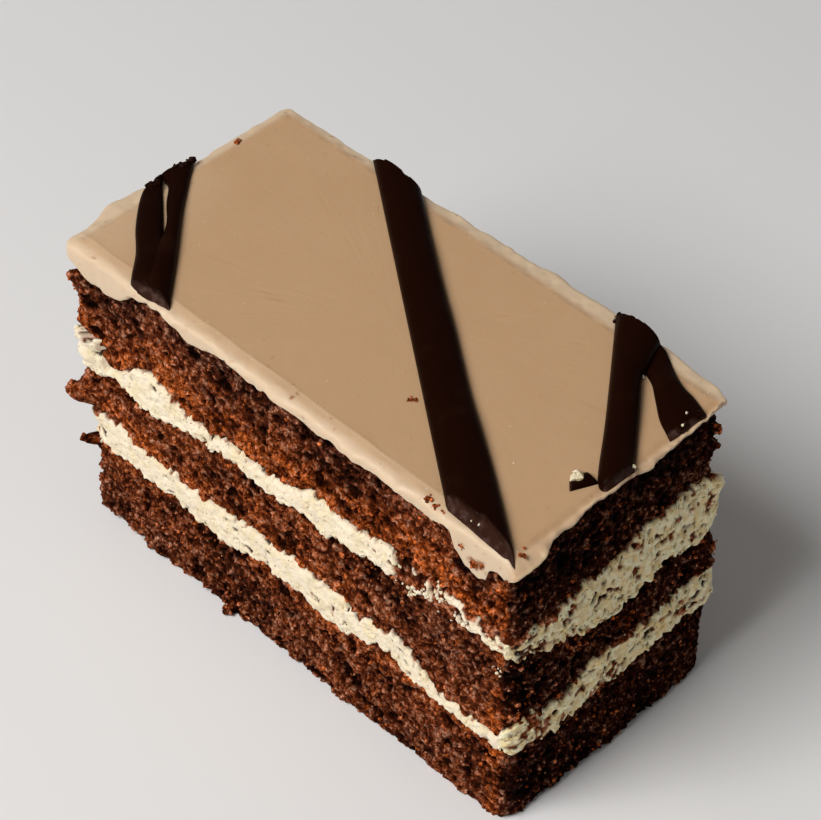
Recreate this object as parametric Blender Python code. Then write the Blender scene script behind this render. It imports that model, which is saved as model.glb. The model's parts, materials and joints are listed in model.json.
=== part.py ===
"""Mocha slice: three chocolate sponge layers with cream between, coffee icing and chocolate rolls.

Run with: blender --background --python part.py
The slice stands on Z = 0 with its length along X and its long cut face towards -Y. Sizes here
are in millimetres, and turn into the scene's metres where a mesh is filled.
"""

import math

import bmesh
import bpy
import numpy as np

MM = 0.001

# The whole slice
SLICE_LENGTH = 96.4
SLICE_WIDTH = 46.8
ICING_TOP = 59.8
CLEARANCE = 0.3

# The cake under the icing
CAKE_LENGTH = 95.0
CAKE_WIDTH = 45.8
CAKE_CORNER = 2.4
COLUMNS = 150
EDGE_BAND = 7.0

# How the cut walls stand out from upright, and how rough they are
END_BULGE = 2.0
FRONT_BULGE = 0.8
BACK_BULGE = 1.4
LEFT_BULGE = 0.9
BULGE_TOP = 52.0
SPONGE_CRAG = 0.75
CREAM_CRAG = 0.35
EDGE_CRAG = 0.35
CRAG_WAVE = 9.0

# The icing
ICING_CORNER = 0.9
RIM_WIDTH = 1.9
RIM_DROP = 0.7
ICING_LIP = 0.5

# Chocolate rolls lie on the icing
ROLL_BASE = ICING_TOP + CLEARANCE
ROLL_HEIGHT = 2.4
ARC_POINTS = 13
THIN_EDGE = 0.25

# Heights of the surfaces between the layers. "inside" is the level in the middle of the slice.
# The others are heights on the walls at even steps: the front from left to right, the right end
# from front to back, the back from right to left and the left end from back to front.
SURFACES = {
    "on_sponge_bottom": {
        "inside": 15.2,
        "front": (15.5, 16, 15, 15, 14.5, 16, 15.5, 13.5, 14.5, 16.5, 14.5, 15, 16),
        "right": (16, 15.5, 16, 15, 14, 13.5, 15),
        "back": (15, 14, 15.5, 16, 15),
        "left": (15, 14.5, 15.5),
    },
    "on_cream_lower": {
        "inside": 22,
        "front": (22, 24.5, 22.5, 22, 22.5, 22.5, 22.5, 23, 22, 23.5, 19.5, 18.5, 19.5),
        "right": (23.5, 21.5, 22.5, 22.5, 21, 22.5, 21.5),
        "back": (21.5, 22.5, 20.5, 22, 21.5),
        "left": (21.5, 22.5, 22),
    },
    "on_sponge_middle": {
        "inside": 35,
        "front": (32.5, 35, 34, 35.5, 35.5, 36.5, 35.5, 35.5, 36.5, 37, 36.5, 37, 37),
        "right": (38.5, 36.5, 34, 31, 31.5, 32, 32),
        "back": (32, 34, 35.5, 34.5, 35),
        "left": (35, 34, 33),
    },
    "on_cream_upper": {
        "inside": 41,
        "front": (40, 38, 42, 39.5, 40.5, 40, 40.5, 42, 42, 40.5, 42, 41, 40),
        "right": (40.5, 41.5, 41.5, 41, 42.5, 44.5, 43),
        "back": (42.5, 41, 40.5, 41.5, 40),
        "left": (40, 41.5, 40.5),
    },
    "on_sponge_top": {
        "inside": 56.9,
        "front": (55, 53.5, 57, 57.5, 57.5, 56.5, 57, 57.5, 57.5, 57, 55.5, 52.5, 54.5),
        "right": (54, 55, 57, 56, 56.5, 56.5, 57),
        "back": (57, 56, 57.5, 55.5, 56.5),
        "left": (56.5, 57, 55.5),
    },
}

# Crumbs and lips that stick out of a wall: centre x, y, z, radius and reach
FLAKES = {
    "sponge_top": ((-47.5, -22.9, 51.5, 3.0, 1.8), (-47.5, -22.9, 43.0, 3.5, 1.7)),
    "cream_upper": ((47.5, 22.9, 39.0, 5.0, 1.2),),
    "sponge_middle": ((-47.5, -22.9, 28.0, 4.5, 3.4), (47.5, 22.9, 32.0, 4.0, -0.8)),
    "cream_lower": ((47.5, 22.9, 21.0, 4.0, 1.0),),
    "sponge_bottom": ((-47.5, -22.9, 11.0, 3.0, -0.6), (-26.0, -22.9, 1.0, 6.0, 0.9)),
    "icing_top": ((-48.2, -10.5, 59.0, 3.5, 1.7),),
}

# Edges of the chocolate rolls, seen from above, from the far end to the near end
CENTRE_ROLL = {
    "left": ((-28.3, 23.6), (34.0, -22.2)),
    "right": ((-16.2, 23.6), (48.2, -23.2)),
}
LEFT_ROLL_OUTER = {
    "left": ((-48.6, -7.4), (-33.5, -22.5)),
    "right": ((-47.6, -3.8), (-38.6, -12.0), (-28.8, -22.6)),
}
LEFT_ROLL_INNER = {
    "left": ((-47.4, -2.6), (-39.2, -11.4), (-30.2, -22.6)),
    "right": ((-48.0, 3.7), (-25.3, -22.4)),
}
RIGHT_ROLL = {
    "left": ((24.8, 23.7), (46.0, -3.1)),
    "right": ((31.6, 23.7), (35.9, 18.8), (48.0, 2.4)),
}
RIGHT_LEAF = {
    "left": ((29.4, 23.5), (35.9, 18.8), (40.2, 15.6), (43.4, 13.2), (47.5, 10.6)),
    "right": ((34.2, 23.8), (40.6, 21.2), (44.4, 20.2), (46.0, 19.4), (48.0, 18.5)),
}
SHARD_CORNERS = ((44.0, -7.2), (45.6, -3.6), (43.2, -2.9), (42.7, -5.4))
SHARD_HEIGHT = 1.5

# Colours as sRGB, with roughness
SPONGE_LOOK = ((0.36, 0.19, 0.11), 0.9)
CREAM_LOOK = ((0.91, 0.86, 0.73), 0.6)
ICING_LOOK = ((0.76, 0.62, 0.48), 0.35)
CHOCOLATE_LOOK = ((0.14, 0.07, 0.05), 0.25)


def linear(value):
    """One sRGB channel as linear light."""
    if value <= 0.04045:
        return value / 12.92
    return ((value + 0.055) / 1.055) ** 2.4


def clear_scene():
    for old in list(bpy.data.objects):
        bpy.data.objects.remove(old, do_unlink=True)


def new_collection(name):
    collection = bpy.data.collections.new(name)
    bpy.context.scene.collection.children.link(collection)
    return collection


def new_material(name, look):
    (red, green, blue), roughness = look
    material = bpy.data.materials.new(name)
    material.use_nodes = True
    shader = material.node_tree.nodes["Principled BSDF"]
    shader.inputs["Base Color"].default_value = (linear(red), linear(green), linear(blue), 1)
    shader.inputs["Roughness"].default_value = roughness
    shader.inputs["Metallic"].default_value = 0
    return material


def add_object(bm, name, material, collection):
    """A named object made from a finished bmesh."""
    mesh = bpy.data.meshes.new(name)
    bm.to_mesh(mesh)
    bm.free()
    mesh.materials.append(material)
    solid = bpy.data.objects.new(name, mesh)
    collection.objects.link(solid)
    return solid


# Layers


def capped_column(columns, rows, rings):
    """A closed cylinder of unit radius: its wall cut into rows, its caps into rings."""
    bm = bmesh.new()
    bmesh.ops.create_cone(
        bm, cap_ends=True, segments=columns, radius1=1, radius2=1, depth=1
    )
    uprights = [edge for edge in bm.edges if edge.calc_length() > 0.5]
    bmesh.ops.subdivide_edges(bm, edges=uprights, cuts=rows - 1)
    for _ in range(rings):
        caps = [face for face in bm.faces if len(face.verts) == columns]
        bmesh.ops.inset_individual(bm, faces=caps, thickness=0.2)
    bm.verts.ensure_lookup_table()
    return bm


def column_parts(bm, columns, rows):
    """Each vertex's column number, its row from the bottom, and its ring from the wall."""
    points = np.array([vertex.co[:] for vertex in bm.verts])
    turn = np.arctan2(points[:, 1], points[:, 0]) / math.tau
    column = np.round((turn % 1) * columns).astype(int) % columns
    row = np.round((points[:, 2] + 0.5) * rows).astype(int)
    ring = np.round((1 - np.hypot(points[:, 0], points[:, 1])) / 0.2).astype(int)
    return column, row, ring


def loop_corners(length, width):
    """Distances of a rectangle's corners along its outline, from the front left one, and the corners."""
    along = np.cumsum([0, length, width, length, width])
    x = np.array([-1, 1, 1, -1, -1]) * length / 2
    y = np.array([-1, -1, 1, 1, -1]) * width / 2
    return along, x, y


def outline(share, length, width, radius):
    """Points and outward normals of a rounded rectangle, at shares of its outline from 0 to 1."""
    along, corner_x, corner_y = loop_corners(length, width)
    distance = share * along[-1]
    sharp = np.stack(
        [
            np.interp(distance, along, corner_x),
            np.interp(distance, along, corner_y),
        ],
        axis=1,
    )
    core = np.array([length, width]) / 2 - radius
    beyond = np.maximum(np.abs(sharp) - core, 0)
    normal = np.sign(sharp) * beyond / np.linalg.norm(beyond, axis=1, keepdims=True)
    return np.sign(sharp) * np.minimum(np.abs(sharp), core) + radius * normal, normal


def wall_heights(surface, share):
    """Height of a layer's surface where it meets the walls, at shares of the outline."""
    along, _, _ = loop_corners(CAKE_LENGTH, CAKE_WIDTH)
    places = []
    heights = []
    for side, start, end in zip(("front", "right", "back", "left"), along, along[1:]):
        inset = 0.5 if side in ("front", "right") else 6
        places.extend(np.linspace(start + inset, end - inset, len(surface[side])))
        heights.extend(surface[side])
    return np.interp(share * along[-1], places, heights, period=along[-1])


def ripples(points, wave, seed):
    """Smooth bumps between about -1 and 1 at points in space."""
    chance = np.random.default_rng(seed)
    directions = chance.normal(size=(3, 7))
    directions /= np.linalg.norm(directions, axis=0)
    turns = points @ directions / wave * chance.uniform(0.7, 1.5, 7)
    return np.sin(math.tau * (turns + chance.random(7))).sum(axis=1) / 2.6


def wall_bulge(x, y, normal, z):
    """How far a cut wall stands out at a height: most near the floor and in mid-wall."""
    low = np.clip((BULGE_TOP - z) / BULGE_TOP, 0, 1)
    swell = np.sin(np.minimum(low * 1.25, 1) * math.pi / 2)
    mid_length = 1 - 0.7 * (2 * x / CAKE_LENGTH) ** 4
    mid_width = 1 - 0.6 * (2 * y / CAKE_WIDTH) ** 4
    right, left = np.maximum(normal[:, 0], 0), np.maximum(-normal[:, 0], 0)
    back, front = np.maximum(normal[:, 1], 0), np.maximum(-normal[:, 1], 0)
    ends = (END_BULGE * right + LEFT_BULGE * left) * mid_width
    sides = (FRONT_BULGE * front + BACK_BULGE * back) * mid_length
    return (ends + sides) * swell


def flake_reach(name, points):
    """Extra reach of the crumbs and lips that are named for a piece."""
    reach = np.zeros(len(points))
    for x, y, z, radius, out in FLAKES.get(name, ()):
        away = np.linalg.norm(points - (x, y, z), axis=1)
        reach += out * np.exp(-((away / radius) ** 2))
    return reach


def edge_jitter(surface_name, columns):
    """Roughness along the edge that two layers share."""
    seed = sum(surface_name.encode())
    return np.random.default_rng(seed).uniform(-EDGE_CRAG, EDGE_CRAG, columns)


def place_vertices(bm, points):
    for vertex, point in zip(bm.verts, points * MM):
        vertex.co = point


def finish_faces(bm):
    bmesh.ops.triangulate(bm, faces=bm.faces[:], quad_method="SHORT_EDGE")
    bmesh.ops.recalc_face_normals(bm, faces=bm.faces[:])


def add_layer(name, below, above, rows, crag, material, collection):
    """A layer of cake between two surfaces: flat inside, wavy and craggy at the cut walls."""
    bm = capped_column(COLUMNS, rows, 1)
    column, row, ring = column_parts(bm, COLUMNS, rows)
    share = column / COLUMNS
    level = row / rows
    wall = ring == 0
    flat, normal = outline(share, CAKE_LENGTH, CAKE_WIDTH, CAKE_CORNER)
    low = np.zeros(len(share)) if below is None else wall_heights(SURFACES[below], share)
    high = wall_heights(SURFACES[above], share)
    low_inside = 0 if below is None else SURFACES[below]["inside"]
    low = np.where(wall, low, low_inside)
    high = np.where(wall, high, SURFACES[above]["inside"])
    height = low + (high - low) * level
    spot = np.column_stack([flat, height])
    edge = np.where(row == 0, edge_jitter(below or "floor", COLUMNS)[column], 0)
    edge += np.where(row == rows, edge_jitter(above, COLUMNS)[column], 0)
    inner_row = (row > 0) & (row < rows)
    seed = sum(name.encode())
    rough = np.random.default_rng(seed).uniform(-0.6, 0.6, (rows + 1, COLUMNS))
    middle = crag * (ripples(spot, CRAG_WAVE, seed) + rough[row, column])
    out = wall_bulge(flat[:, 0], flat[:, 1], normal, height) + edge
    out += np.where(inner_row, middle + flake_reach(name, spot), 0)
    shrink = 1 - EDGE_BAND / (np.array([CAKE_LENGTH, CAKE_WIDTH]) / 2)
    across = np.where(wall[:, None], flat + normal * out[:, None], flat * shrink)
    lift = 0 if below is None else CLEARANCE / 2
    height += np.where(row == 0, lift, 0) - np.where(row == rows, CLEARANCE / 2, 0)
    place_vertices(bm, np.column_stack([across, height]))
    finish_faces(bm)
    return add_object(bm, name, material, collection)


def add_icing(name, material, collection):
    """The icing slab: a flat top, a rim that slopes to the edge, and a skirt that hangs unevenly."""
    rows = 3
    bm = capped_column(COLUMNS, rows, 1)
    column, row, ring = column_parts(bm, COLUMNS, rows)
    share = column / COLUMNS
    wall = ring == 0
    surface = SURFACES["on_sponge_top"]
    flat, normal = outline(share, SLICE_LENGTH, SLICE_WIDTH, ICING_CORNER)
    cake, cake_normal = outline(share, CAKE_LENGTH, CAKE_WIDTH, CAKE_CORNER)
    hem = wall_heights(surface, share) + CLEARANCE / 2
    brow = ICING_TOP - RIM_DROP
    heights = np.stack([hem, hem + 0.4 * (brow - hem), brow - 0.7 + 0 * hem, brow + 0 * hem])
    height = heights[row, np.arange(len(row))]
    spot = np.column_stack([flat, height])
    wobble = 0.25 * ripples(spot * (1, 1, 0.3), 2 * CRAG_WAVE, 5) + flake_reach(name, spot)
    lip = np.array([0, ICING_LIP, ICING_LIP, 0.1])[row]
    hem_out = wall_bulge(cake[:, 0], cake[:, 1], cake_normal, hem) + 0.4
    hem_point = cake + cake_normal * hem_out[:, None]
    wall_point = flat + normal * (lip + wobble - 0.3)[:, None]
    across = np.where((row == 0)[:, None], hem_point, wall_point)
    rim = flat - normal * RIM_WIDTH
    band = 1 - EDGE_BAND / (np.array([CAKE_LENGTH, CAKE_WIDTH]) / 2)
    inner = np.where((row == rows)[:, None], rim, cake * band)
    across = np.where(wall[:, None], across, inner)
    inner_height = np.where(row == rows, ICING_TOP, surface["inside"] + CLEARANCE / 2)
    height = np.where(wall, height, inner_height)
    place_vertices(bm, np.column_stack([across, height]))
    finish_faces(bm)
    return add_object(bm, name, material, collection)


# Chocolate


def along_edge(points, share):
    """Points at even shares along an edge given by its corners."""
    points = np.array(points, float)
    steps = np.linspace(0, 1, len(points))
    return np.stack([np.interp(share, steps, points[:, axis]) for axis in (0, 1)], axis=1)


def roll_mesh(edges, heights, leans, rise=1.0):
    """A half-round roll between two edges. heights are its crown's, from the far end to the near.

    leans push each crown along the roll, so that an end can slope like a cut.
    """
    rows = len(heights) - 1
    bm = bmesh.new()
    bmesh.ops.create_cone(
        bm, cap_ends=True, segments=ARC_POINTS, radius1=1, radius2=1, depth=1
    )
    uprights = [edge for edge in bm.edges if abs(edge.verts[0].co.z - edge.verts[1].co.z) > 0.5]
    bmesh.ops.subdivide_edges(bm, edges=uprights, cuts=rows - 1)
    column, row, _ = column_parts(bm, ARC_POINTS, rows)
    arc = math.pi * column / (ARC_POINTS - 1)
    share = roll_shares(rows)
    left, right = along_edge(edges["left"], share), along_edge(edges["right"], share)
    course = (left[-1] + right[-1]) - (left[0] + right[0])
    course /= np.linalg.norm(course)
    crown = np.sin(arc)
    across = left[row] + (right - left)[row] * ((1 - np.cos(arc)) / 2)[:, None]
    across += course * (np.array(leans)[row] * crown)[:, None]
    height = ROLL_BASE + np.array(heights)[row] * crown**rise
    place_vertices(bm, np.column_stack([across, height]))
    finish_faces(bm)
    return bm


def roll_shares(rows):
    """Where a roll's rings lie: two at each end for its slope, and even ones between."""
    return np.concatenate([[0], np.linspace(0, 1, rows - 1), [1]])


def joined(bodies, name, material, collection, cutters):
    """One solid from overlapping bodies."""
    solid = add_object(bodies[0], name, material, collection)
    for number, body in enumerate(bodies[1:]):
        helper = add_object(body, f"{name}_part{number}", material, cutters)
        helper.hide_render = True
        helper.display_type = "WIRE"
        union = solid.modifiers.new("join", "BOOLEAN")
        union.operation = "UNION"
        union.solver = "EXACT"
        union.object = helper
    return solid


def add_rolls(material, collection, cutters):
    """The three chocolate pieces. The outer two fork, each from two rolls that run together."""
    full = ROLL_HEIGHT
    straight = [0.9 * full] * 2 + [full] * 3 + [0.95 * full, THIN_EDGE]
    slope = [0.3, 0.6, 0, 0, 0, -2.4, 0]
    centre = roll_mesh(CENTRE_ROLL, straight, slope)
    add_object(centre, "chocolate_band_centre", material, collection)
    slim = [0.75 * height for height in straight]
    outer = roll_mesh(LEFT_ROLL_OUTER, slim, [0.3, 0.5, 0, 0, 0, -1.8, 0])
    inner = roll_mesh(LEFT_ROLL_INNER, slim, [0.2, 0.4, 0, 0, 0, -1.6, 0])
    joined([outer, inner], "chocolate_band_left", material, collection, cutters)
    band = roll_mesh(RIGHT_ROLL, straight, [0.2, 0.4, 0, 0, 0, -1.5, 0])
    leaf_heights = [0.85 * full, 0.95 * full, 0.85 * full, 0.7 * full, 0.55 * full, 0.4 * full, THIN_EDGE]
    leaf = roll_mesh(RIGHT_LEAF, leaf_heights, [0.2, 0.4, 0, 0, 0, -0.8, 0], rise=0.8)
    joined([band, leaf], "chocolate_band_right", material, collection, cutters)


def add_shard(name, material, collection):
    """A broken chip of chocolate that lies on the icing with one edge raised."""
    bm = bmesh.new()
    bmesh.ops.create_cube(bm, size=2)
    corner_of = {(-1, -1): 0, (1, -1): 1, (1, 1): 2, (-1, 1): 3}
    top = (0.35, 0.9, SHARD_HEIGHT, 0.8)
    for vertex in bm.verts:
        number = corner_of[(round(vertex.co.x), round(vertex.co.y))]
        height = ROLL_BASE + (top[number] if vertex.co.z > 0 else 0)
        vertex.co = (*(np.array(SHARD_CORNERS[number]) * MM), height * MM)
    bmesh.ops.recalc_face_normals(bm, faces=bm.faces[:])
    add_object(bm, name, material, collection)


def main():
    clear_scene()
    slice_parts = new_collection("mocha_slice")
    cutters = new_collection("cutters")
    sponge = new_material("sponge", SPONGE_LOOK)
    cream = new_material("cream", CREAM_LOOK)
    icing = new_material("icing", ICING_LOOK)
    chocolate = new_material("chocolate", CHOCOLATE_LOOK)
    add_layer("sponge_bottom", None, "on_sponge_bottom", 3, SPONGE_CRAG, sponge, slice_parts)
    add_layer("cream_lower", "on_sponge_bottom", "on_cream_lower", 2, CREAM_CRAG, cream, slice_parts)
    add_layer("sponge_middle", "on_cream_lower", "on_sponge_middle", 3, SPONGE_CRAG, sponge, slice_parts)
    add_layer("cream_upper", "on_sponge_middle", "on_cream_upper", 2, CREAM_CRAG, cream, slice_parts)
    add_layer("sponge_top", "on_cream_upper", "on_sponge_top", 3, SPONGE_CRAG, sponge, slice_parts)
    add_icing("icing_top", icing, slice_parts)
    add_rolls(chocolate, slice_parts, cutters)
    add_shard("chocolate_shard", chocolate, slice_parts)


main()
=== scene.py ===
"""Mocha slice: torn sponge, smeared cream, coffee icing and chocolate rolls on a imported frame.

Sizes in this script are in millimetres and turn into metres where a mesh is filled. The slice
stands on Z = 0 with its length along X and its long cut face towards -Y.
"""

import json
import math

import bmesh
import bpy
import numpy as np
from mathutils import Matrix, Vector

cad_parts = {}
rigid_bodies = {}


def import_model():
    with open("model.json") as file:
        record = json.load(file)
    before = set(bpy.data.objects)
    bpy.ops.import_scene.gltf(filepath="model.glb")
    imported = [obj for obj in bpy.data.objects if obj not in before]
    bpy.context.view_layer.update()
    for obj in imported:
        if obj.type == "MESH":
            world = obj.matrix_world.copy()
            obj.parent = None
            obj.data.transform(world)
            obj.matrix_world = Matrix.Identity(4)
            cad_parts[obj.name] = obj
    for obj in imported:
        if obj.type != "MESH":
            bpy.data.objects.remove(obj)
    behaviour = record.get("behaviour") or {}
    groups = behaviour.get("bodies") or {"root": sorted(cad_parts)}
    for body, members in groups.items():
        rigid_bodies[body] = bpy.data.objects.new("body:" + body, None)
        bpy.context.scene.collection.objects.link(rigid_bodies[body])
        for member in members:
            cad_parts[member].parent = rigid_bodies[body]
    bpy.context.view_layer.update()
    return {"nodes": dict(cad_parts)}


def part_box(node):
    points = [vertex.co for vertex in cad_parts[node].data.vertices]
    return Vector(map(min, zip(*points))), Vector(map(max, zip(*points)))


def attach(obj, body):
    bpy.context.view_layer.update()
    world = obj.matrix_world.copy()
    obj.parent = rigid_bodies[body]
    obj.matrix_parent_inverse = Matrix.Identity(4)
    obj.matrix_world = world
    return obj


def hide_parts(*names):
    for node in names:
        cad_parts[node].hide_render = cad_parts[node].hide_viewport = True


bl_info = {
    "name": "Mocha Slice",
    "version": (1, 0, 0),
    "blender": (4, 5, 0),
    "location": "3D View > Sidebar > Mocha Slice",
    "description": "Builds a slice of layered mocha cake with icing and chocolate rolls",
    "category": "Add Mesh",
}

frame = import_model()

MM = 0.001

# The cake under its icing, and the icing over it
CAKE_SIZE = np.array([95.0, 45.8])
CAKE_CORNER = 2.4
SLICE_SIZE = np.array([96.4, 46.8])
SLICE_CORNER = 0.9
ICING_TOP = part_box("icing_top")[1].z / MM
# Width of the band round a layer's rim in which its height is wavy
EDGE_BAND = 7.0
# Points round the icing, and columns into which the points of a CAD wall are sorted
ICING_COLUMNS = 1000
WALL_COLUMNS = 150

# Height of the icing's hem: x and height along the front, then y and height across the right end
FRONT_HEM = np.array(
    (
        (-47.6, 55.2), (-44.1, 53.8), (-40.6, 53.5), (-37.0, 54.3), (-33.3, 57.2), (-26.3, 58.6),
        (-23.0, 57.4), (-20.8, 55.7), (-17.4, 56.6), (-12.8, 58.2), (-9.6, 58.6), (-7.1, 57.2),
        (-2.4, 57.8), (1.5, 57.7), (6.2, 57.0), (10.4, 57.5), (13.2, 57.3), (18.4, 57.1),
        (23.0, 58.0), (25.6, 57.6), (28.7, 56.9), (33.0, 56.8), (34.6, 57.8), (36.2, 57.8),
        (37.0, 54.8), (39.0, 52.6), (41.8, 51.8), (43.2, 52.3), (43.8, 54.6), (45.5, 55.8),
        (46.6, 55.4),
    )
)
END_HEM = np.array(
    (
        (-22.7, 55.8), (-20.3, 56.0), (-18.4, 56.6), (-16.1, 57.9), (-14.0, 58.4), (-10.1, 58.6),
        (-5.9, 59.4), (-2.6, 59.2), (2.3, 59.2), (5.5, 57.8), (7.3, 58.4), (11.8, 59.3),
        (19.2, 59.4), (23.1, 59.0),
    )
)
# How far the sheet over the right end droops for each millimetre that it reaches out
SLANT = 1.13

# How far the cut walls swell out of upright
END_BULGE = 2.0
FRONT_BULGE = 0.8
FRONT_FOOT = 0.4
BACK_BULGE = 1.4
LEFT_BULGE = 0.9
# Height above which the walls are upright
BULGE_TOP = 52.0
# Distance from the middle, along the length, over which a long wall turns into an end wall
END_BAND = (46.2, 47.4)

# Layers, with the number of rows on their walls
SPONGES = {"sponge_bottom": 64, "sponge_middle": 58, "sponge_top": 72}
CREAMS = {"cream_lower": 38, "cream_upper": 44}
LAYER_COLUMNS = 1200
# How far the layers' edges, from the lowest up, lie above the CAD's: along the front by x
FRONT_SHIFTS = (
    (
        (-46, 0.2), (-38, 0.8), (-26, 2.2), (-20, 1.0), (-4, 2.1), (3, 2.8), (10, 1.9),
        (24, 3.4), (36, 2.0), (46, 0.4),
    ),
    (
        (-46, 0.2), (-36, -0.9), (-26, 0.9), (-22, 0), (-4, 1.2), (12, 1.1), (20, 0.4),
        (26, 2.6), (34, 0.5), (46, 1.0),
    ),
    (
        (-46, 0), (-36, -1.2), (-28, -2.1), (-21, -0.5), (-14, 0), (-4, -1.1), (2, 0),
        (10, 0.3), (24, 0.6), (46, 1.5),
    ),
    (
        (-47, 1.0), (-44.5, 0.4), (-42.5, -2.8), (-40.5, -2.8), (-38, -0.4), (-32, -0.8), (-26, 0),
        (-20, -1.5), (0, -0.9), (7, 1.0), (14, -0.6), (21, 2.2), (32, 0.5), (46, 1.5),
    ),
)
# The same along the right end, by y
END_SHIFTS = (
    ((-22, -1.0), (-10, 0.2), (0, 0.9), (5, 2.2), (12, 3.6), (17, 3.0), (22, 1.2)),
    ((-22, 0), (-18, 0.8), (-12, -0.3), (-3, 2.6), (5, 2.4), (9, 3.6), (17, 2.0), (22, 3.0)),
    ((-22, -1.2), (-16, -2.2), (-6, -1.6), (2, 0), (11, 2.0), (17, -0.2), (22, 0.3)),
    ((-22, 0.5), (-12, 0.6), (-2, 1.1), (8, 2.5), (12, 0.3), (22, 1.5)),
)
# How far each layer stands out of the cake's outline
LAYER_PROUD = {
    "sponge_bottom": 0.1,
    "cream_lower": 0.25,
    "sponge_middle": 0.1,
    "cream_upper": 0.25,
    "sponge_top": -0.1,
}

# Upright edges of the cake at its near left and its far right, as x and y
NEAR_LEFT = (-46.8, -22.2)
FAR_RIGHT = (46.8, 22.2)
# Crumbs and lips that stick out of a wall: centre x, y, z, radius and reach
FLAKES = {
    "sponge_top": (
        (*NEAR_LEFT, 53.2, 1.2, 1.3),
        (*NEAR_LEFT, 51.4, 1.2, 1.2),
        (*NEAR_LEFT, 49.5, 3.2, 1.7),
        (*NEAR_LEFT, 43.5, 2.8, 1.8),
        (*FAR_RIGHT, 54.4, 1.8, 1.1),
        (*FAR_RIGHT, 50.0, 1.3, 0.8),
        (*FAR_RIGHT, 47.2, 1.4, -1.0),
        (47.5, 8.5, 57.0, 1.4, 1.0),
        (47.5, 1.0, 56.0, 1.2, 0.7),
        (47.5, -13.5, 55.5, 1.2, 0.7),
    ),
    "cream_upper": (
        (*FAR_RIGHT, 38.0, 4.0, 0.9),
        (*FAR_RIGHT, 42.4, 1.6, 1.4),
        (*NEAR_LEFT, 41.0, 2.6, 2.0),
        (*NEAR_LEFT, 36.0, 2.6, 1.6),
    ),
    "sponge_middle": (
        (*NEAR_LEFT, 28.8, 2.4, 1.9),
        (*NEAR_LEFT, 27.0, 1.3, 2.0),
        (*NEAR_LEFT, 25.6, 1.2, 3.3),
        (*NEAR_LEFT, 33.4, 1.4, 1.4),
        (*FAR_RIGHT, 33.0, 2.0, -0.5),
        (*FAR_RIGHT, 26.5, 3.5, 1.5),
    ),
    "cream_lower": (
        (*FAR_RIGHT, 20.0, 4.0, 1.2),
        (*NEAR_LEFT, 22.6, 1.0, 0.6),
        (*NEAR_LEFT, 19.4, 1.6, -0.9),
    ),
    "sponge_bottom": (
        (*NEAR_LEFT, 15.3, 1.0, 3.2),
        (*NEAR_LEFT, 11.0, 3.0, -0.3),
        (-31.0, -22.9, 0.5, 2.0, 0.8),
        (-13.2, -22.9, 0.5, 1.2, 1.6),
    ),
    "icing_top": (
        (-48.2, -10.0, 59.0, 5.0, 2.4),
        (-48.2, -14.0, 59.0, 3.0, 0.8),
        (-48.2, -20.5, 59.0, 4.0, 0.8),
        (48.0, 23.5, 59.0, 3.0, -1.1),
    ),
}

# Edges of the chocolate rolls, seen from above, from the far end to the near end
CENTRE_ROLL = {
    "left": ((-28.6, 24.0), (34.0, -22.4)),
    "right": (
        (-17.5, 24.0), (-2.1, 12.7), (9.3, 4.7), (19.9, -3.0), (27.4, -8.0),
        (34.9, -13.1), (42.3, -18.4), (46.6, -21.6), (48.6, -23.3),
    ),
}
LEFT_ROLL = {
    "left": ((-48.6, -8.0), (-46.8, -10.4), (-42.9, -14.5), (-38.2, -18.6), (-33.8, -23.6)),
    "right": ((-49.3, -3.2), (-44.0, -7.6), (-39.3, -11.7), (-34.0, -16.0), (-28.6, -23.5)),
}
TWIN_ROLL = {
    "left": (
        (-49.8, -3.5), (-46.9, -4.1), (-43.9, -7.1), (-39.7, -10.9), (-37.0, -15.2),
        (-32.0, -23.5),
    ),
    "right": ((-49.0, 3.6), (-44.7, -1.5), (-39.8, -7.2), (-32.4, -15.0), (-24.8, -23.4)),
}
RIGHT_ROLL = {
    "left": ((24.0, 24.6), (27.5, 20.3), (38.1, 6.9), (45.5, -2.8), (48.0, -3.6)),
    "right": ((33.4, 24.6), (35.8, 18.6), (36.2, 17.2), (40.7, 11.7), (45.9, 5.2), (48.1, 2.4)),
}
RIGHT_LEAF = {
    "left": ((28.0, 24.6), (34.2, 19.4), (37.7, 17.6), (40.2, 15.6), (43.9, 12.6), (47.6, 10.7)),
    "right": ((34.4, 24.6), (40.8, 20.8), (44.5, 19.8), (48.1, 18.5)),
}
CHIP = {
    "left": ((43.4, -2.7), (42.6, -5.7)),
    "right": ((46.1, -3.1), (44.2, -7.4)),
}
# Rolls in each piece: edges, heights along the roll, slope of the far and the near end, and seed
ROLLS = {
    "chocolate_band_centre": ((CENTRE_ROLL, (2.5, 2.4, 2.5, 2.5), 0.5, 2.8, 11),),
    "chocolate_band_left": (
        (LEFT_ROLL, (1.1, 1.6, 2.1), 0.7, 0.8, 12),
        (TWIN_ROLL, (1.2, 1.9, 2.1), 0.7, 0.8, 13),
    ),
    "chocolate_band_right": (
        (RIGHT_ROLL, (3.6, 2.8, 2.6, 2.4, 2.2), 0.5, 0.4, 14),
        (RIGHT_LEAF, (1.2, 0.9, 1.4, 1.5, 1.3), 0.5, 0.9, 15),
    ),
    "chocolate_shard": ((CHIP, (0.9, 1.5, 0.9), 0.3, 0.3, 16),),
}
# How deep a roll sits in the icing, and how high its thin ends still are
ROLL_SINK = 0.15
ROLL_EDGE = 0.4
# A roll turns sharply where its surface bends by more than this many degrees
ROLL_CREASE = 50


def linear_colour(code):
    """An sRGB hex colour as linear red, green, blue and alpha."""
    values = np.array([int(code[i : i + 2], 16) for i in (0, 2, 4)]) / 255
    bent = np.where(values <= 0.04045, values / 12.92, ((values + 0.055) / 1.055) ** 2.4)
    return (*bent.tolist(), 1.0)


# Settings that a user would change


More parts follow.
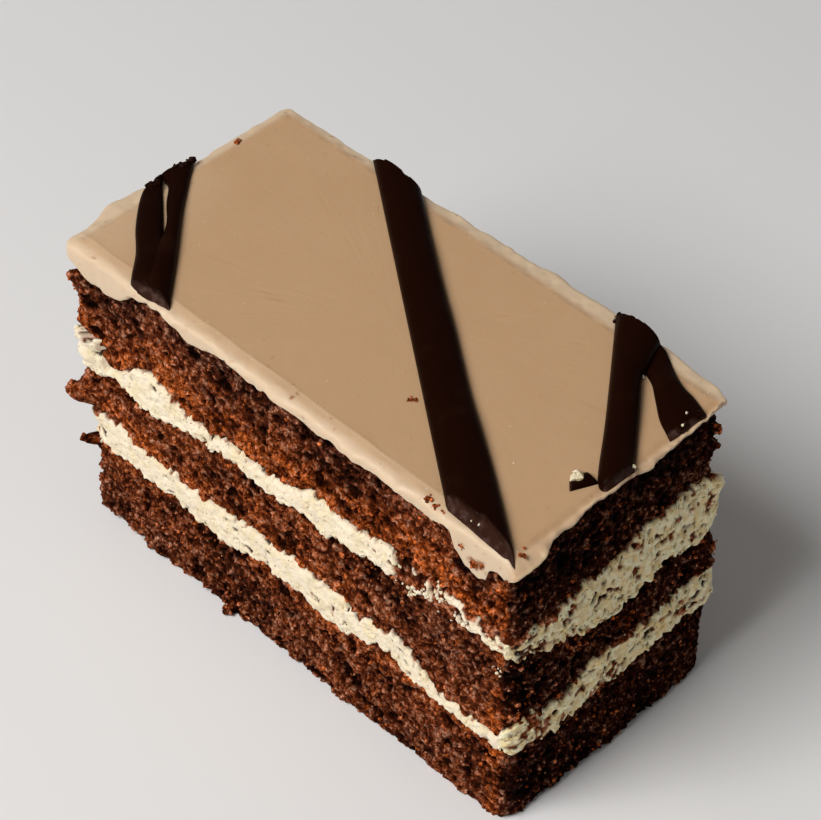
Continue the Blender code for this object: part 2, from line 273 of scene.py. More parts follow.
def size_property(name, description, default, low, high):
    """A length in millimetres between two bounds."""
    return bpy.props.FloatProperty(
        name=name, description=description, default=default, min=low, max=high
    )


def colour_property(name, description, code):
    """A colour whose default is an sRGB hex value."""
    return bpy.props.FloatVectorProperty(
        name=name,
        description=description,
        default=linear_colour(code),
        size=4,
        min=0.0,
        max=1.0,
        subtype="COLOR",
    )


class MochaSizes(bpy.types.PropertyGroup):
    """Sizes of the relief and the crumbs, in millimetres."""

    crumb_relief: size_property("Crumb relief", "Height of the sponge's torn grains", 0.6, 0.0, 2.0)
    pore_depth: size_property("Pore depth", "Depth of the sponge's open pores", 1.0, 0.0, 3.0)
    cream_relief: size_property("Cream relief", "Height of the cream's smears", 0.3, 0.0, 2.0)
    cream_pits: size_property("Cream pits", "Depth of the air holes in the cream", 0.9, 0.0, 2.0)
    ragged_edge: size_property("Ragged edge", "Reach of the teeth between layers", 0.65, 0.0, 2.0)
    icing_lip: size_property("Icing lip", "How far the icing hangs over the cake", 0.45, 0.0, 2.0)


class MochaColours(bpy.types.PropertyGroup):
    """Colours of the food."""

    crumb: colour_property("Crumb", "Torn chocolate sponge", "7B3E21")
    # Also the painted shade of the right end, through the sponge's tone
    crumb_dark: colour_property("Dark crumb", "Sponge near the icing and in its pores", "542B1B")
    # Painted light: the glow of light that comes through thin crumb
    crumb_warm: colour_property("Warm crumb", "Thin sponge that light comes through", "BE5F26")
    cream: colour_property("Cream", "Whipped cream", "F2E3C9")
    icing: colour_property("Icing", "Coffee icing", "C29E79")
    icing_thin: colour_property("Thin icing", "Icing where it thins out at the rim", "D7BEA0")
    chocolate: colour_property("Chocolate", "Dark chocolate, as set", "190702")
    chocolate_cut: colour_property("Cut chocolate", "Dark chocolate, cut by a knife", "301B13")


class MochaStage(bpy.types.PropertyGroup):
    """The table and the light."""

    table: colour_property("Table", "Pale matte table", "E7E7E8")
    key_power: bpy.props.FloatProperty(
        name="Key light", description="Power of the window light", default=11.9, unit="POWER"
    )
    fill: bpy.props.FloatProperty(
        name="Fill light", description="Strength of the light from all sides", default=0.17
    )


# Noise, as whole arrays


def scrambled(cells, seed):
    """Random numbers from 0 to 1 for whole-number cells: each cell's numbers are multiplied by
    primes and added up, and the sum's bits are stirred by shifts and products."""
    primes = np.array([73856093, 19349663, 83492791], np.uint64)
    low_bits = np.uint64(0xFFFFFFFF)
    bits = (cells.astype(np.int64).view(np.uint64) * primes).sum(axis=-1)
    bits = (bits + np.uint64(seed * 2654435761)) & low_bits
    for shift in (16, 13, 16):
        bits ^= bits >> np.uint64(shift)
        bits = (bits * np.uint64(2246822519)) & low_bits
    bits ^= bits >> np.uint64(15)
    return bits / 2.0**32


def value_noise(points, cell, seed):
    """Random values on a grid of cells, blended with a smooth step along each axis: -1 to 1."""
    places = points / cell
    low = np.floor(places)
    part = places - low
    blend = part * part * (3 - 2 * part)
    total = np.zeros(len(points))
    for corner in np.ndindex(2, 2, 2):
        weight = np.prod(np.where(corner, blend, 1 - blend), axis=1)
        total += weight * scrambled(low + corner, seed)
    return 2 * total - 1


def fractal(points, cell, octaves, seed):
    """Value noise with finer copies of itself added, each half the size and 0.55 the height."""
    total = np.zeros(len(points))
    for octave in range(octaves):
        total += 0.55**octave * value_noise(points, cell / 2**octave, seed + octave)
    return total


def domes(points, cell, share, seed):
    """Domes of mixed width, at most one per cell and only in a share of the cells: 1 at a dome's
    centre, falling to 0 at its rim as one less the square of the distance over its radius."""
    places = points / cell
    low = np.floor(places - 0.5)
    highest = np.zeros(len(points))
    for step in np.ndindex(2, 2, 2):
        near = low + step
        centre = near + np.stack([scrambled(near, seed + i) for i in range(3)], axis=1)
        radius = 0.2 + 0.3 * scrambled(near, seed + 3)
        away = ((places - centre) ** 2).sum(axis=1) / radius**2
        dome = np.where(scrambled(near, seed + 4) < share, 1 - np.minimum(away, 1), 0)
        highest = np.maximum(highest, dome)
    return highest


def warped(points, cell, reach, seed):
    """Points pushed about by noise, so that what is drawn at them is no longer round."""
    push = np.stack([value_noise(points, cell, seed + i) for i in range(3)], axis=1)
    return points + reach * push


def smooth_step(low, high, values):
    """Values from low to high as 0 to 1, by three times the square less twice the cube."""
    part = np.clip((values - low) / (high - low), 0, 1)
    return part * part * (3 - 2 * part)


# Shape of the cut walls


def outline(share, size, corner):
    """Points and outward normals of a rounded rectangle, at shares of its outline from 0 to 1.

    A point runs round the sharp rectangle. Where it is past the corner's centre both ways, the
    part past it is drawn back to the corner's radius.
    """
    along = np.cumsum([0, size[0], size[1], size[0], size[1]])
    distance = share * along[-1]
    x = np.interp(distance, along, np.array([-1, 1, 1, -1, -1]) * size[0] / 2)
    y = np.interp(distance, along, np.array([-1, -1, 1, 1, -1]) * size[1] / 2)
    sharp = np.stack([x, y], axis=-1)
    core = size / 2 - corner
    beyond = np.maximum(np.abs(sharp) - core, 0)
    normal = np.sign(sharp) * beyond / np.linalg.norm(beyond, axis=-1, keepdims=True)
    return np.sign(sharp) * np.minimum(np.abs(sharp), core) + corner * normal, normal


def node_points(node):
    """The points of a CAD node's mesh, in millimetres."""
    mesh = frame["nodes"][node].data
    points = np.empty(len(mesh.vertices) * 3)
    mesh.vertices.foreach_get("co", points)
    return points.reshape(-1, 3) / MM


def nearest_column(points):
    """The column of the cake's wall that each point stands in front of."""
    edge, normal = outline(np.arange(WALL_COLUMNS) / WALL_COLUMNS, CAKE_SIZE, CAKE_CORNER)
    away = points[:, None, :2] - edge
    out = np.clip((away * normal).sum(axis=-1, keepdims=True), 0, 4)
    return np.linalg.norm(away - out * normal, axis=-1).argmin(axis=1)


def layer_heights(node):
    """A CAD layer's lowest and highest points round its wall, and its flat underside and top."""
    points = node_points(node)
    gap = (CAKE_SIZE / 2 - np.abs(points[:, :2])).min(axis=1)
    wall = points[gap < EDGE_BAND / 4]
    inside = points[gap > EDGE_BAND - 1.5, 2]
    column = nearest_column(wall)
    low = np.full(WALL_COLUMNS, np.inf)
    high = np.full(WALL_COLUMNS, -np.inf)
    np.minimum.at(low, column, wall[:, 2])
    np.maximum.at(high, column, wall[:, 2])
    count = np.bincount(column, minlength=WALL_COLUMNS)
    full = count > np.median(count) / 2
    return filled(low, full), filled(high, full), inside.min(), inside.max()


def filled(values, full):
    """Columns with few points take their height from their neighbours."""
    known = np.flatnonzero(full)
    places = np.arange(len(values))
    return np.interp(places, known, values[known], period=len(values))


def edge_height(values, share):
    """Height at shares of the outline, between a layer's columns."""
    places = np.arange(len(values)) / len(values)
    return np.interp(share, places, values, period=1.0)


def wall_bulge(edge, normal, z):
    """How far a cut wall swells out: a quarter sine from the top down, most in mid-wall."""
    low = np.clip((BULGE_TOP - z) / BULGE_TOP, 0, 1)
    swell = np.sin(np.minimum(low * 1.25, 1) * math.pi / 2)
    mid_length = 1 - 0.7 * (2 * edge[..., 0] / CAKE_SIZE[0]) ** 4
    mid_width = 1 - 0.6 * (2 * edge[..., 1] / CAKE_SIZE[1]) ** 4
    right, left = np.maximum(normal[..., 0], 0), np.maximum(-normal[..., 0], 0)
    back, front = np.maximum(normal[..., 1], 0), np.maximum(-normal[..., 1], 0)
    ends = (END_BULGE * right + LEFT_BULGE * left) * mid_width
    sides = (FRONT_BULGE * front + BACK_BULGE * back) * mid_length
    # The bottom sponge spreads a little at its foot
    return (ends + sides) * swell + FRONT_FOOT * front * smooth_step(11.0, 0.0, z)


def flake_reach(name, points):
    """Extra reach of a piece's named flakes: a bell curve round each centre."""
    reach = np.zeros(len(points))
    for x, y, z, radius, out in FLAKES.get(name, ()):
        away = np.linalg.norm(points - (x, y, z), axis=1)
        reach += out * np.exp(-((away / radius) ** 2))
    return reach


def teeth(share, seed):
    """Ragged rise and fall of an edge between layers: rounded clumps on finer noise."""
    edge, _ = outline(share, CAKE_SIZE, CAKE_CORNER)
    along = np.column_stack([edge, np.zeros(len(edge))])
    clumps = 1 - 2.4 * np.abs(value_noise(along, 1.9, seed))
    fine = value_noise(along, 0.8, seed + 1) + 0.5 * value_noise(along, 0.4, seed + 2)
    return 0.7 * clumps + 0.7 * fine + 0.8 * value_noise(along, 4.5, seed + 3)


def edge_shift(order, edge, normal):
    """How far an edge between layers lies above the CAD's, faded out at the back and the left."""
    front, right = np.maximum(-normal[:, 1], 0) ** 2, np.maximum(normal[:, 0], 0) ** 2
    along = np.interp(edge[:, 0], *np.array(FRONT_SHIFTS[order]).T)
    return front * along + right * np.interp(edge[:, 1], *np.array(END_SHIFTS[order]).T)


def sponge_relief(points, sizes, seed):
    """Torn sponge: clumps and crumbs on slow waves, less open pores of three widths."""
    bent = warped(points, 1.2, 0.5, seed)
    clumps = domes(bent, 2.6, 1.0, seed + 10)
    crumbs = domes(bent, 1.15, 1.0, seed + 20)
    torn = fractal(points, 1.3, 3, seed + 30)
    waves = value_noise(points, 7.0, seed + 40)
    caves = domes(bent, 3.6, 0.4, seed + 50)
    holes = domes(bent, 2.0, 0.6, seed + 60)
    cells = domes(bent, 1.2, 0.8, seed + 70)
    lumps = 0.6 * clumps + 0.65 * crumbs + 0.6 * torn + 0.5 * waves - 0.4
    pores = 0.9 * caves + 0.6 * holes + 0.45 * cells
    return sizes.crumb_relief * lumps - sizes.pore_depth * pores


def cream_relief(points, sizes, seed):
    """Smeared cream: flat waves and small curds, less steep air holes, rougher at the ends."""
    at_end = smooth_step(*END_BAND, np.abs(points[:, 0]))
    smear = fractal(points * (1.0, 1.0, 1.6), 4.0, 2, seed) * (1 + 0.2 * at_end)
    curds = domes(warped(points, 1.0, 0.4, seed + 5), 1.2, 0.8, seed + 10)
    ripple = fractal(points, 0.9, 2, seed + 20) * (1 + 0.3 * at_end)
    bent = warped(points, 1.0, 0.5, seed + 30)
    few = domes(bent, 2.0, 0.25, seed + 40) * (1 - 0.7 * at_end)
    many = domes(bent, 0.9, 0.4, seed + 50) * at_end
    lumps = sizes.cream_relief * (0.8 * smear + 0.8 * curds + 0.6 * ripple)
    return lumps - sizes.cream_pits * np.sqrt(np.maximum(few, many))


# Meshes


def fill_mesh(name, points, faces, attributes):
    """A smooth mesh from points in millimetres, lists of equal-sided faces and point attributes."""
    mesh = bpy.data.meshes.new(name)
    mesh.vertices.add(len(points))
    mesh.vertices.foreach_set("co", (points * MM).astype(np.float32).ravel())
    sides = np.concatenate([np.full(len(group), group.shape[1]) for group in faces])
    starts = np.concatenate([[0], np.cumsum(sides)[:-1]])
    corners = np.concatenate([group.ravel() for group in faces])
    mesh.loops.add(len(corners))
    mesh.loops.foreach_set("vertex_index", corners.astype(np.int32))
    mesh.polygons.add(len(sides))
    mesh.polygons.foreach_set("loop_start", starts.astype(np.int32))
    mesh.update(calc_edges=True)
    mesh.validate()
    for key, values in attributes.items():
        layer = mesh.attributes.new(key, "FLOAT", "POINT")
        layer.data.foreach_set("value", values.astype(np.float32))
    mesh.shade_smooth()
    return mesh


def closed_surface(name, grid, attributes):
    """A mesh over a grid of points that wraps round its columns and is closed by a point at the
    middle of each end row."""
    rows, columns = grid.shape[:2]
    corner = np.arange(rows * columns).reshape(rows, columns)
    beside = np.roll(corner, -1, axis=1)
    quads = np.stack([corner[:-1], beside[:-1], beside[1:], corner[1:]], axis=-1).reshape(-1, 4)
    foot = rows * columns
    crown = foot + 1
    first = np.stack([beside[0], corner[0], np.full(columns, foot)], axis=-1)
    last = np.stack([corner[-1], beside[-1], np.full(columns, crown)], axis=-1)
    ends = np.stack([grid[0].mean(axis=0), grid[-1].mean(axis=0)])
    points = np.concatenate([grid.reshape(-1, 3), ends])
    spread = {
        key: np.concatenate([values.ravel(), [values[0].mean(), values[-1].mean()]])
        for key, values in attributes.items()
    }
    return fill_mesh(name, points, [quads, np.concatenate([first, last])], spread)


def add_piece(mesh, material, nodes):
    """A finished piece that stands for CAD nodes and rides with the slice."""
    piece = bpy.data.objects.new(mesh.name, mesh)
    mesh.materials.append(material)
    bpy.context.scene.collection.objects.link(piece)
    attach(piece, "root")
    if nodes:
        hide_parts(*nodes)


# Layers

LAYER_SEEDS = {
    "sponge_bottom": 1000,
    "cream_lower": 2000,
    "sponge_middle": 3000,
    "cream_upper": 4000,
    "sponge_top": 5000,
}

# Large air holes in the creams' right end: centre Y and Z, radius and depth
AIR_HOLES = {
    "cream_lower": (
        (7.5, 21.2, 0.95, 2.0),
        (14.1, 20.1, 0.55, 1.6),
        (-2.5, 20.5, 0.5, 1.6),
        (-0.4, 20.3, 0.45, 1.5),
        (-13.5, 19.3, 0.7, 1.6),
    ),
    "cream_upper": (
        (-5.6, 38.0, 0.5, 1.7),
        (-5.0, 38.8, 0.5, 1.7),
        (0.9, 33.9, 0.45, 1.5),
        (9.2, 37.5, 0.45, 1.5),
        (16.5, 45.7, 0.5, 1.5),
        (17.4, 34.9, 0.5, 1.5),
    ),
}

# How much warmer each sponge grows along the right half of the front, as painted light through the
# crumb; below 0 it grows darker
GLOW = {"sponge_bottom": 0.0, "sponge_middle": -0.7, "sponge_top": 0.3}
# Colour of each sponge from its underside to its top: -1 is warm and thin, with painted light
# through it, and 1 is dark; the right end lies above 1, as painted shade
SPONGE_TONES = {
    "sponge_bottom": (0.3, 0.4, 0.2, -0.6),
    "sponge_middle": (-0.9, -0.5, -0.2, -0.3),
    "sponge_top": (-1.0, -0.9, -0.1, 0.7, 0.9),
}
# Where crumbs are smeared over a cream: centre x, y, z, radius and how thickly
SMEARED = {
    "cream_upper": (
        (26.8, -22.9, 39.0, 2.6, 1.6),
        (31.0, -22.9, 39.0, 5.0, 0.7),
        (35.6, -22.9, 39.0, 2.2, 1.3),
        (42.0, -22.9, 38.0, 7.0, 0.6),
        (47.5, -16.0, 36.0, 7.0, 0.4),
    ),
    "cream_lower": ((12.0, -22.9, 20.0, 2.5, 0.5), (47.5, -19.0, 17.0, 5.0, 0.4)),
}
# Tone of the crumb that is smeared over a cream, between warm and dark
SMEARED_TONE = 0.0
# By x, where the painted light and the small dark holes of the cream's right end start, and where
# they are full
RIGHT_END_BAND = (46.4, 47.6)


def crumb_cover(name, points, from_edge):
    """How far crumbs hide a cream, 0 to 1: patches of noise, denser at edges and named places."""
    noise = 0.7 * value_noise(points, 1.7, 91) + 0.5 * value_noise(points, 0.7, 92)
    at_end = smooth_step(*END_BAND, np.abs(points[:, 0]))
    # At the right end, more crumb, and a faint tint of crumb all over: crumbs, and painted warm
    # light bounced from the sponge
    bias = 0.5 * np.maximum(1 - from_edge / 0.9, 0) - 0.58 + 0.26 * at_end
    for x, y, z, radius, thickness in SMEARED[name]:
        away = np.linalg.norm(points - (x, y, z), axis=1)
        bias = bias + thickness * np.exp(-((away / radius) ** 2))
    return np.maximum(smooth_step(0.0, 0.22, noise + bias), 0.06 * at_end)


def air_holes(name, points):
    """Depth of a cream's large air holes: cups with steep sides, in its right end alone."""
    depth = np.zeros(len(points))
    for y, z, radius, deep in AIR_HOLES[name]:
        away = np.hypot(points[:, 1] - y, points[:, 2] - z) / radius
        depth = np.maximum(depth, deep * smooth_step(1.2, 0.7, away) * (points[:, 0] > 46.0))
    return depth


def layer_surface(name, rows, relief_of, sizes):
    """A layer's closed surface, as a grid of rows from its underside's middle to its top's.

    The wall is the cake's outline at each height, pushed out by the bulge, the relief and the
    flakes, and drawn in again at its two edges. The caps run in from the wall's edges, from the
    wavy edge height to the flat inside.
    """
    share = np.arange(LAYER_COLUMNS) / LAYER_COLUMNS
    low, high, floor, ceiling = layer_heights(name)
    low, high = edge_height(low, share), edge_height(high, share)
    order = list(LAYER_SEEDS).index(name)
    edge, normal = outline(share, CAKE_SIZE, CAKE_CORNER)
    # A layer's top and the underside of the next have the same teeth, and close the CAD's gap
    if order > 0:
        ragged = sizes.ragged_edge * teeth(share, 50 + 10 * order)
        low = low - 0.2 + edge_shift(order - 1, edge, normal) + ragged
    if name != "sponge_top":
        ragged = sizes.ragged_edge * teeth(share, 60 + 10 * order)
        high = high + 0.1 + edge_shift(order, edge, normal) + ragged
    high = np.maximum(high, low + 0.4)
    if name == "sponge_top":
        high = np.minimum(icing_hem(share) + 0.6, ICING_TOP - 0.9)
    rise = np.linspace(0, 1, rows)
    height = low + (high - low) * rise[:, None]
    base = np.concatenate([np.broadcast_to(edge, (rows, *edge.shape)), height[..., None]], axis=-1)
    flat = base.reshape(-1, 3)
    relief = relief_of(flat, sizes, LAYER_SEEDS[name]).reshape(rows, -1)
    reach = flake_reach(name, flat).reshape(rows, -1)
    from_edge = np.minimum(rise, 1 - rise)[:, None] * (high - low)
    tuck = 0.5 * np.maximum(1 - from_edge / 0.7, 0) ** 2
    if name in SMEARED:
        relief -= air_holes(name, flat).reshape(rows, -1)
        paint = crumb_cover(name, flat, from_edge.ravel()).reshape(rows, -1)
        torn = sponge_relief(flat, sizes, 94).reshape(rows, -1)
        relief = relief + paint * (0.7 * torn - relief)
    else:
        tones = SPONGE_TONES[name]
        tone = np.interp(rise, np.linspace(0, 1, len(tones)), tones)
        patches = 0.35 * value_noise(flat, 5.0, LAYER_SEEDS[name] + 90).reshape(rows, -1)
        # Painted light: light comes through the crumb at the near corner, and none at the right end
        corner = 1.2 * smooth_step(42.0, 46.5, edge[:, 0])
        glow = corner + GLOW[name] * smooth_step(10.0, 24.0, edge[:, 0])
        patches -= glow * np.maximum(-normal[:, 1], 0)
        # Painted shade: the right end is dark at every height, whatever the tone of the front there
        end = smooth_step(0.4, 0.9, normal[:, 0])
        paint = tone[:, None] * (1 - 0.7 * end) + patches + 1.9 * end
    out = wall_bulge(edge, normal, height) + relief + reach + LAYER_PROUD[name] - tuck
    wall = base.copy()
    wall[..., :2] += normal * out[..., None]
    under, over = cap_rings(wall[0], floor), cap_rings(wall[-1], ceiling)
    grid = np.concatenate([under[::-1], wall, over])
    around = ((len(under), len(over)), (0, 0))
    marks = {"relief": relief, "paint": paint}
    return grid, {key: np.pad(mark, around, mode="edge") for key, mark in marks.items()}


def cap_rings(rim, level):
    """Rings from a wall's edge inwards, which run from its height to the flat inside."""
    insets = np.array([0.6, 1.6, 3.5, EDGE_BAND])[:, None]
    rings = np.repeat(rim[None], len(insets), axis=0)
    rings[..., :2] *= 1 - insets[..., None] / (CAKE_SIZE / 2)
    rings[..., 2] += (level - rim[:, 2]) * smooth_step(0, EDGE_BAND, insets)
    return rings


# Icing


def smooth_rows(stations, rows):
    """Rows of points through stations, by a Catmull-Rom curve in each column."""
    padded = np.concatenate([stations[:1], stations, stations[-1:]])
    place = np.linspace(0, len(stations) - 1, rows)
    start = np.minimum(place.astype(int), len(stations) - 2)
    t = (place - start)[:, None, None]
    a, b, c, d = (padded[start + i] for i in range(4))
    bend = 2 * b + (c - a) * t + (2 * a - 5 * b + 4 * c - d) * t**2
    return (bend + (3 * b - a - 3 * c + d) * t**3) / 2


def icing_height(points):
    """Height of the icing's top: flat, and curving down in the last 1.9 mm to the uncut edges."""
    gap = SLICE_SIZE / 2 - np.abs(points)
    gap = np.where(points[..., 0] > 0, gap[..., 1], gap.min(axis=-1))
    return ICING_TOP - 0.9 * np.clip(1 - gap / 1.9, 0, 1.3) ** 2


def end_overhang(edge):
    """How far the icing's sheet droops out over the right end: most at the near corner."""
    low = np.interp(edge[:, 1], *END_HEM.T)
    return np.clip((ICING_TOP - 1.0 - low) / SLANT, 0.1, 1.9)


def icing_hem(share):
    """Height of the icing's lower edge: set point by point along the front and the right end,
    and wavy like them at the back and the left, where it follows the CAD layer."""
    hem, _, _, _ = layer_heights("icing_top")
    edge, normal = outline(share, SLICE_SIZE, SLICE_CORNER)
    front, right = np.maximum(-normal[:, 1], 0) ** 2, np.maximum(normal[:, 0], 0) ** 2
    round_edge = np.column_stack([edge, np.full(len(edge), ICING_TOP)])
    fine = 0.4 * value_noise(round_edge, 1.6, 71) + 0.3 * value_noise(round_edge, 0.7, 72)
    behind = edge_height(hem, share)
    behind += smooth_step(38.0, 46.0, edge[:, 0]) * (ICING_TOP - 1.4 - behind)
    hem = (1 - front - right) * behind + (1 - 0.6 * right) * fine
    hem += front * np.interp(edge[:, 0], *FRONT_HEM.T)
    return hem + right * (np.interp(edge[:, 1], *END_HEM.T) + SLANT * end_overhang(edge))


def icing_surface(sizes):
    """The icing's closed surface: stations from the middle of its underside out to its hem, up
    over the lip and in across the top, with a smooth curve through them in each column."""
    share = np.arange(ICING_COLUMNS) / ICING_COLUMNS
    under = layer_heights("icing_top")[2]
    hem = icing_hem(share)
    edge, normal = outline(share, SLICE_SIZE, SLICE_CORNER)
    round_edge = np.column_stack([edge, np.full(ICING_COLUMNS, ICING_TOP)])
    lip = sizes.icing_lip + 0.45 * value_noise(round_edge, 5.0, 73)
    flakes = flake_reach("icing_top", round_edge)
    lip += 0.2 * value_noise(round_edge, 1.5, 74) + flakes
    # The right end is cut through: a thin chipped sheet that droops towards the near corner
    at_cut = smooth_step(0.3, 0.9, normal[:, 0])
    chips = 0.3 * value_noise(round_edge, 2.2, 75) + 0.25 * value_noise(round_edge, 0.9, 76)
    # The sheet reaches out over the back and the left without drooping
    behind = np.maximum(normal[:, 1], 0) ** 2
    past = smooth_step(-25.0, 5.0, edge[:, 0]) + 0.9 * smooth_step(5.0, 13.0, edge[:, 0])
    past -= 1.3 * smooth_step(26.0, 48.0, edge[:, 0])
    lip += behind * (0.2 + past) + 0.5 * np.maximum(-normal[:, 0], 0) ** 2
    lip += at_cut * (chips + end_overhang(edge) + 0.8 * np.minimum(flakes, 0) - lip)
    droop = 1.1 - 0.4 * at_cut * (1 - 1.2 * end_overhang(edge)) - 0.5 * behind
    brow = np.maximum(ICING_TOP - droop, hem + 0.4)
    inner = np.minimum(hem + 0.5, ICING_TOP - 1.1)
    # Inset from the icing's outline, how much of the lip is added, and height
    profile = (
        (EDGE_BAND, 0, under),
        (3.0, 0, np.minimum((under + hem) / 2 + 0.4, ICING_TOP - 1.3)),
        (1.0, 0, inner),
        (0.5, 0, np.minimum(hem + 0.08, inner)),
        (0.15, 0.6, hem),
        (0.0, 0.8, hem + 0.3),
        (0.0, 1.0, hem + 0.3 * (brow - hem)),
        (0.0, 1.0, hem + 0.75 * (brow - hem)),
        (0.0, 0.8, brow + 0.1),
        (0.3, 0.4, (brow + ICING_TOP) / 2),
        (1.0, 0, ICING_TOP - 0.26 + 0.15 * behind),
        (1.8, 0, ICING_TOP - 0.06 * (1 - behind)),
        (2.6, 0, ICING_TOP),
        (4.0, 0, ICING_TOP),
        (EDGE_BAND, 0, ICING_TOP),
    )
    stations = []
    for inset, share_of_lip, height in profile:
        ring, away = outline(share, SLICE_SIZE - 2 * inset, max(SLICE_CORNER - inset, 0.3))
        ring = ring + away * share_of_lip * lip[:, None]
        stations.append(np.column_stack([ring, np.broadcast_to(height, share.shape)]))
    rows = smooth_rows(np.array(stations), 84)
    spread = rows[-1] * np.linspace([0.92, 0.92, 1], [0.04, 0.04, 1], 12)[:, None]
    grid = np.concatenate([rows, spread])
    flat = grid.reshape(-1, 3)
    rough = 0.05 * fractal(flat, 7.0, 2, 81) + 0.02 * fractal(flat, 1.6, 2, 82)
    # A faint crease 2.3 mm in from the front, as the hanging rim pulls on the sheet
    crease = np.abs(flat[:, 1] + SLICE_SIZE[1] / 2 - 2.3 - 0.2 * value_noise(flat, 4.0, 83)) / 0.3
    rough += 0.1 * np.exp(-(crease**2)) * (0.5 + 0.5 * value_noise(flat, 6.0, 84))
    gap = SLICE_SIZE / 2 - np.abs(grid[..., :2])
    # The rim is dented where it ran down and set
    dents = 0.16 * value_noise(flat, 3.2, 85) + 0.1 * value_noise(flat, 1.3, 86)
    rough += dents * smooth_step(2.2, 0.4, gap.min(axis=-1).ravel())
    grid[..., 2] += rough.reshape(grid.shape[:2])
    gap[..., 0] *= np.where(grid[..., 0] > 0, 2.0, 1.0)
    # Thin at the rim, and a little over the left end
    left = 0.3 * smooth_step(-34.0, -46.0, grid[..., 0]) * smooth_step(10.0, -8.0, grid[..., 1])
    thin = np.maximum(1 - smooth_step(0.0, 2.0, gap.min(axis=-1)), left)
    # Outside the crease it is thinner than on the flat top, and at the right end it is cut through
    thin = np.maximum(thin, 0.3 * smooth_step(2.7, 2.1, grid[..., 1] + SLICE_SIZE[1] / 2))
    thin *= 1 - 0.5 * smooth_step(SLICE_SIZE[0] / 2 - 0.8, SLICE_SIZE[0] / 2, grid[..., 0])
    return grid, {"thin": thin, "stain": stained(flat).reshape(thin.shape)}


def stained(points):
    """How far smeared crumb hides the icing, 0 to 1: bell curves round named places, broken up."""
    reach = 0.5 * value_noise(points, 0.9, 95) + 0.3 * value_noise(points, 0.4, 96) - 0.35
    for x, y, z, radius, strength in STAINS:
        away = np.linalg.norm(points - (x, y, z), axis=1)
        reach = reach + 1.2 * strength * np.exp(-((away / radius) ** 2))
    return smooth_step(0.0, 0.5, reach)


# Chocolate


def along_edge(points, share):
    """Points at even shares of the length of a smooth edge through given points."""
    points = smooth_rows(np.array(points, float)[:, None], 80)[:, 0]
    steps = np.linalg.norm(np.diff(points, axis=0), axis=1)
    place = np.concatenate([[0], np.cumsum(steps)]) / steps.sum()
    return np.stack([np.interp(share, place, points[:, axis]) for axis in (0, 1)], axis=-1)


# Single crumbs all over the torn sponge, and curds all over the cream
TORN_CRUMBS = 3600
CREAM_CURDS = 500
# Crumbs in clumps on the walls: centre x, y, z, spread, how many, and the greatest radius
CRUMB_CLUMPS = (
    (-50.2, -24.0, 53.2, 0.8, 46, 0.45),
    (-48.2, -22.2, 50.0, 1.2, 50, 0.5),
    (-52.0, -25.0, 27.2, 1.0, 60, 0.5),
    (-50.5, -24.0, 25.4, 0.8, 30, 0.45),
    (-50.0, -25.0, 15.4, 0.6, 36, 0.4),
    (-14.0, -25.0, 0.8, 0.7, 18, 0.45),
    (-36.0, -24.2, 0.8, 2.5, 20, 0.5),
    (-12.0, -24.0, 0.8, 3.0, 24, 0.45),
    (20.0, -24.0, 0.8, 3.0, 24, 0.45),
    (48.8, -22.2, 24.0, 1.0, 40, 0.5),
    (49.5, 24.0, 54.6, 0.8, 40, 0.45),
    (49.5, 24.0, 50.2, 0.6, 24, 0.45),
    (49.5, 23.5, 29.0, 1.0, 46, 0.5),
    (48.4, -10.0, 30.0, 2.0, 20, 0.5),
)
# Flecks of cream on the walls, in the same form
CREAM_FLECKS = (
    (28.0, -23.6, 38.3, 0.9, 12, 0.5),
    (30.9, -23.6, 39.6, 0.7, 9, 0.45),
    (33.4, -23.6, 42.6, 0.4, 8, 0.4),
    (34.2, -23.6, 40.8, 0.6, 9, 0.4),
    (38.0, -23.6, 39.6, 0.8, 10, 0.4),
    (-49.0, -23.4, 39.0, 1.0, 26, 0.5),
    (46.0, -23.6, 33.5, 0.8, 10, 0.35),
)
# Crumbs on the icing: centre x, y, spread, how many, and the greatest radius
ICING_CRUMBS = (
    (14.9, -10.3, 0.35, 18, 0.3),
    (-47.6, 11.3, 0.3, 14, 0.4),
    (30.6, -22.8, 0.22, 10, 0.35),
    (32.4, -23.0, 0.3, 12, 0.35),
    (34.0, -23.2, 0.22, 8, 0.35),
    (48.0, -21.0, 0.35, 14, 0.35),
)
# Wet crumb smeared into the icing: centre x, y, z, radius and strength
STAINS = (
    (30.6, -23.4, 61.0, 0.9, 0.9),
    (32.2, -23.6, 61.0, 1.0, 0.8),
    (34.2, -23.8, 61.0, 0.8, 0.9),
    (38.6, -24.0, 56.8, 0.9, 0.5),
    (41.2, -24.2, 54.6, 1.3, 1.0),
    (42.6, -24.2, 55.2, 0.9, 0.7),
    (47.9, -20.6, 61.0, 0.8, 0.8),
    (48.2, -18.0, 61.0, 0.8, 0.5),
    (48.2, -5.5, 60.6, 0.9, 0.5),
    (48.3, 1.8, 60.4, 1.6, 0.5),
)
# Crumbs on the icing where it hangs down at the near corner, as the clumps on the walls
FLAP_CRUMBS = (
    (41.0, -24.3, 54.2, 0.4, 34, 0.32),
    (38.8, -24.3, 56.4, 0.3, 10, 0.25),
    (42.4, -24.3, 55.2, 0.3, 14, 0.32),
    (47.5, -24.0, 55.4, 0.6, 16, 0.3),
)
# Bits of chocolate at the rolls' broken ends, in the same form
CHOCOLATE_BITS = (
    (-48.3, -6.4, 61.6, 0.6, 26, 0.4),
    (-48.4, -4.4, 61.8, 0.6, 30, 0.45),
    (-48.4, 0.4, 62.0, 0.7, 20, 0.4),
    (-48.6, 3.2, 61.6, 0.6, 20, 0.45),
    (48.0, 17.4, 60.8, 0.5, 14, 0.35),
    (48.0, 13.2, 60.8, 0.5, 10, 0.3),
    (24.6, 23.8, 60.8, 0.8, 14, 0.4),
)
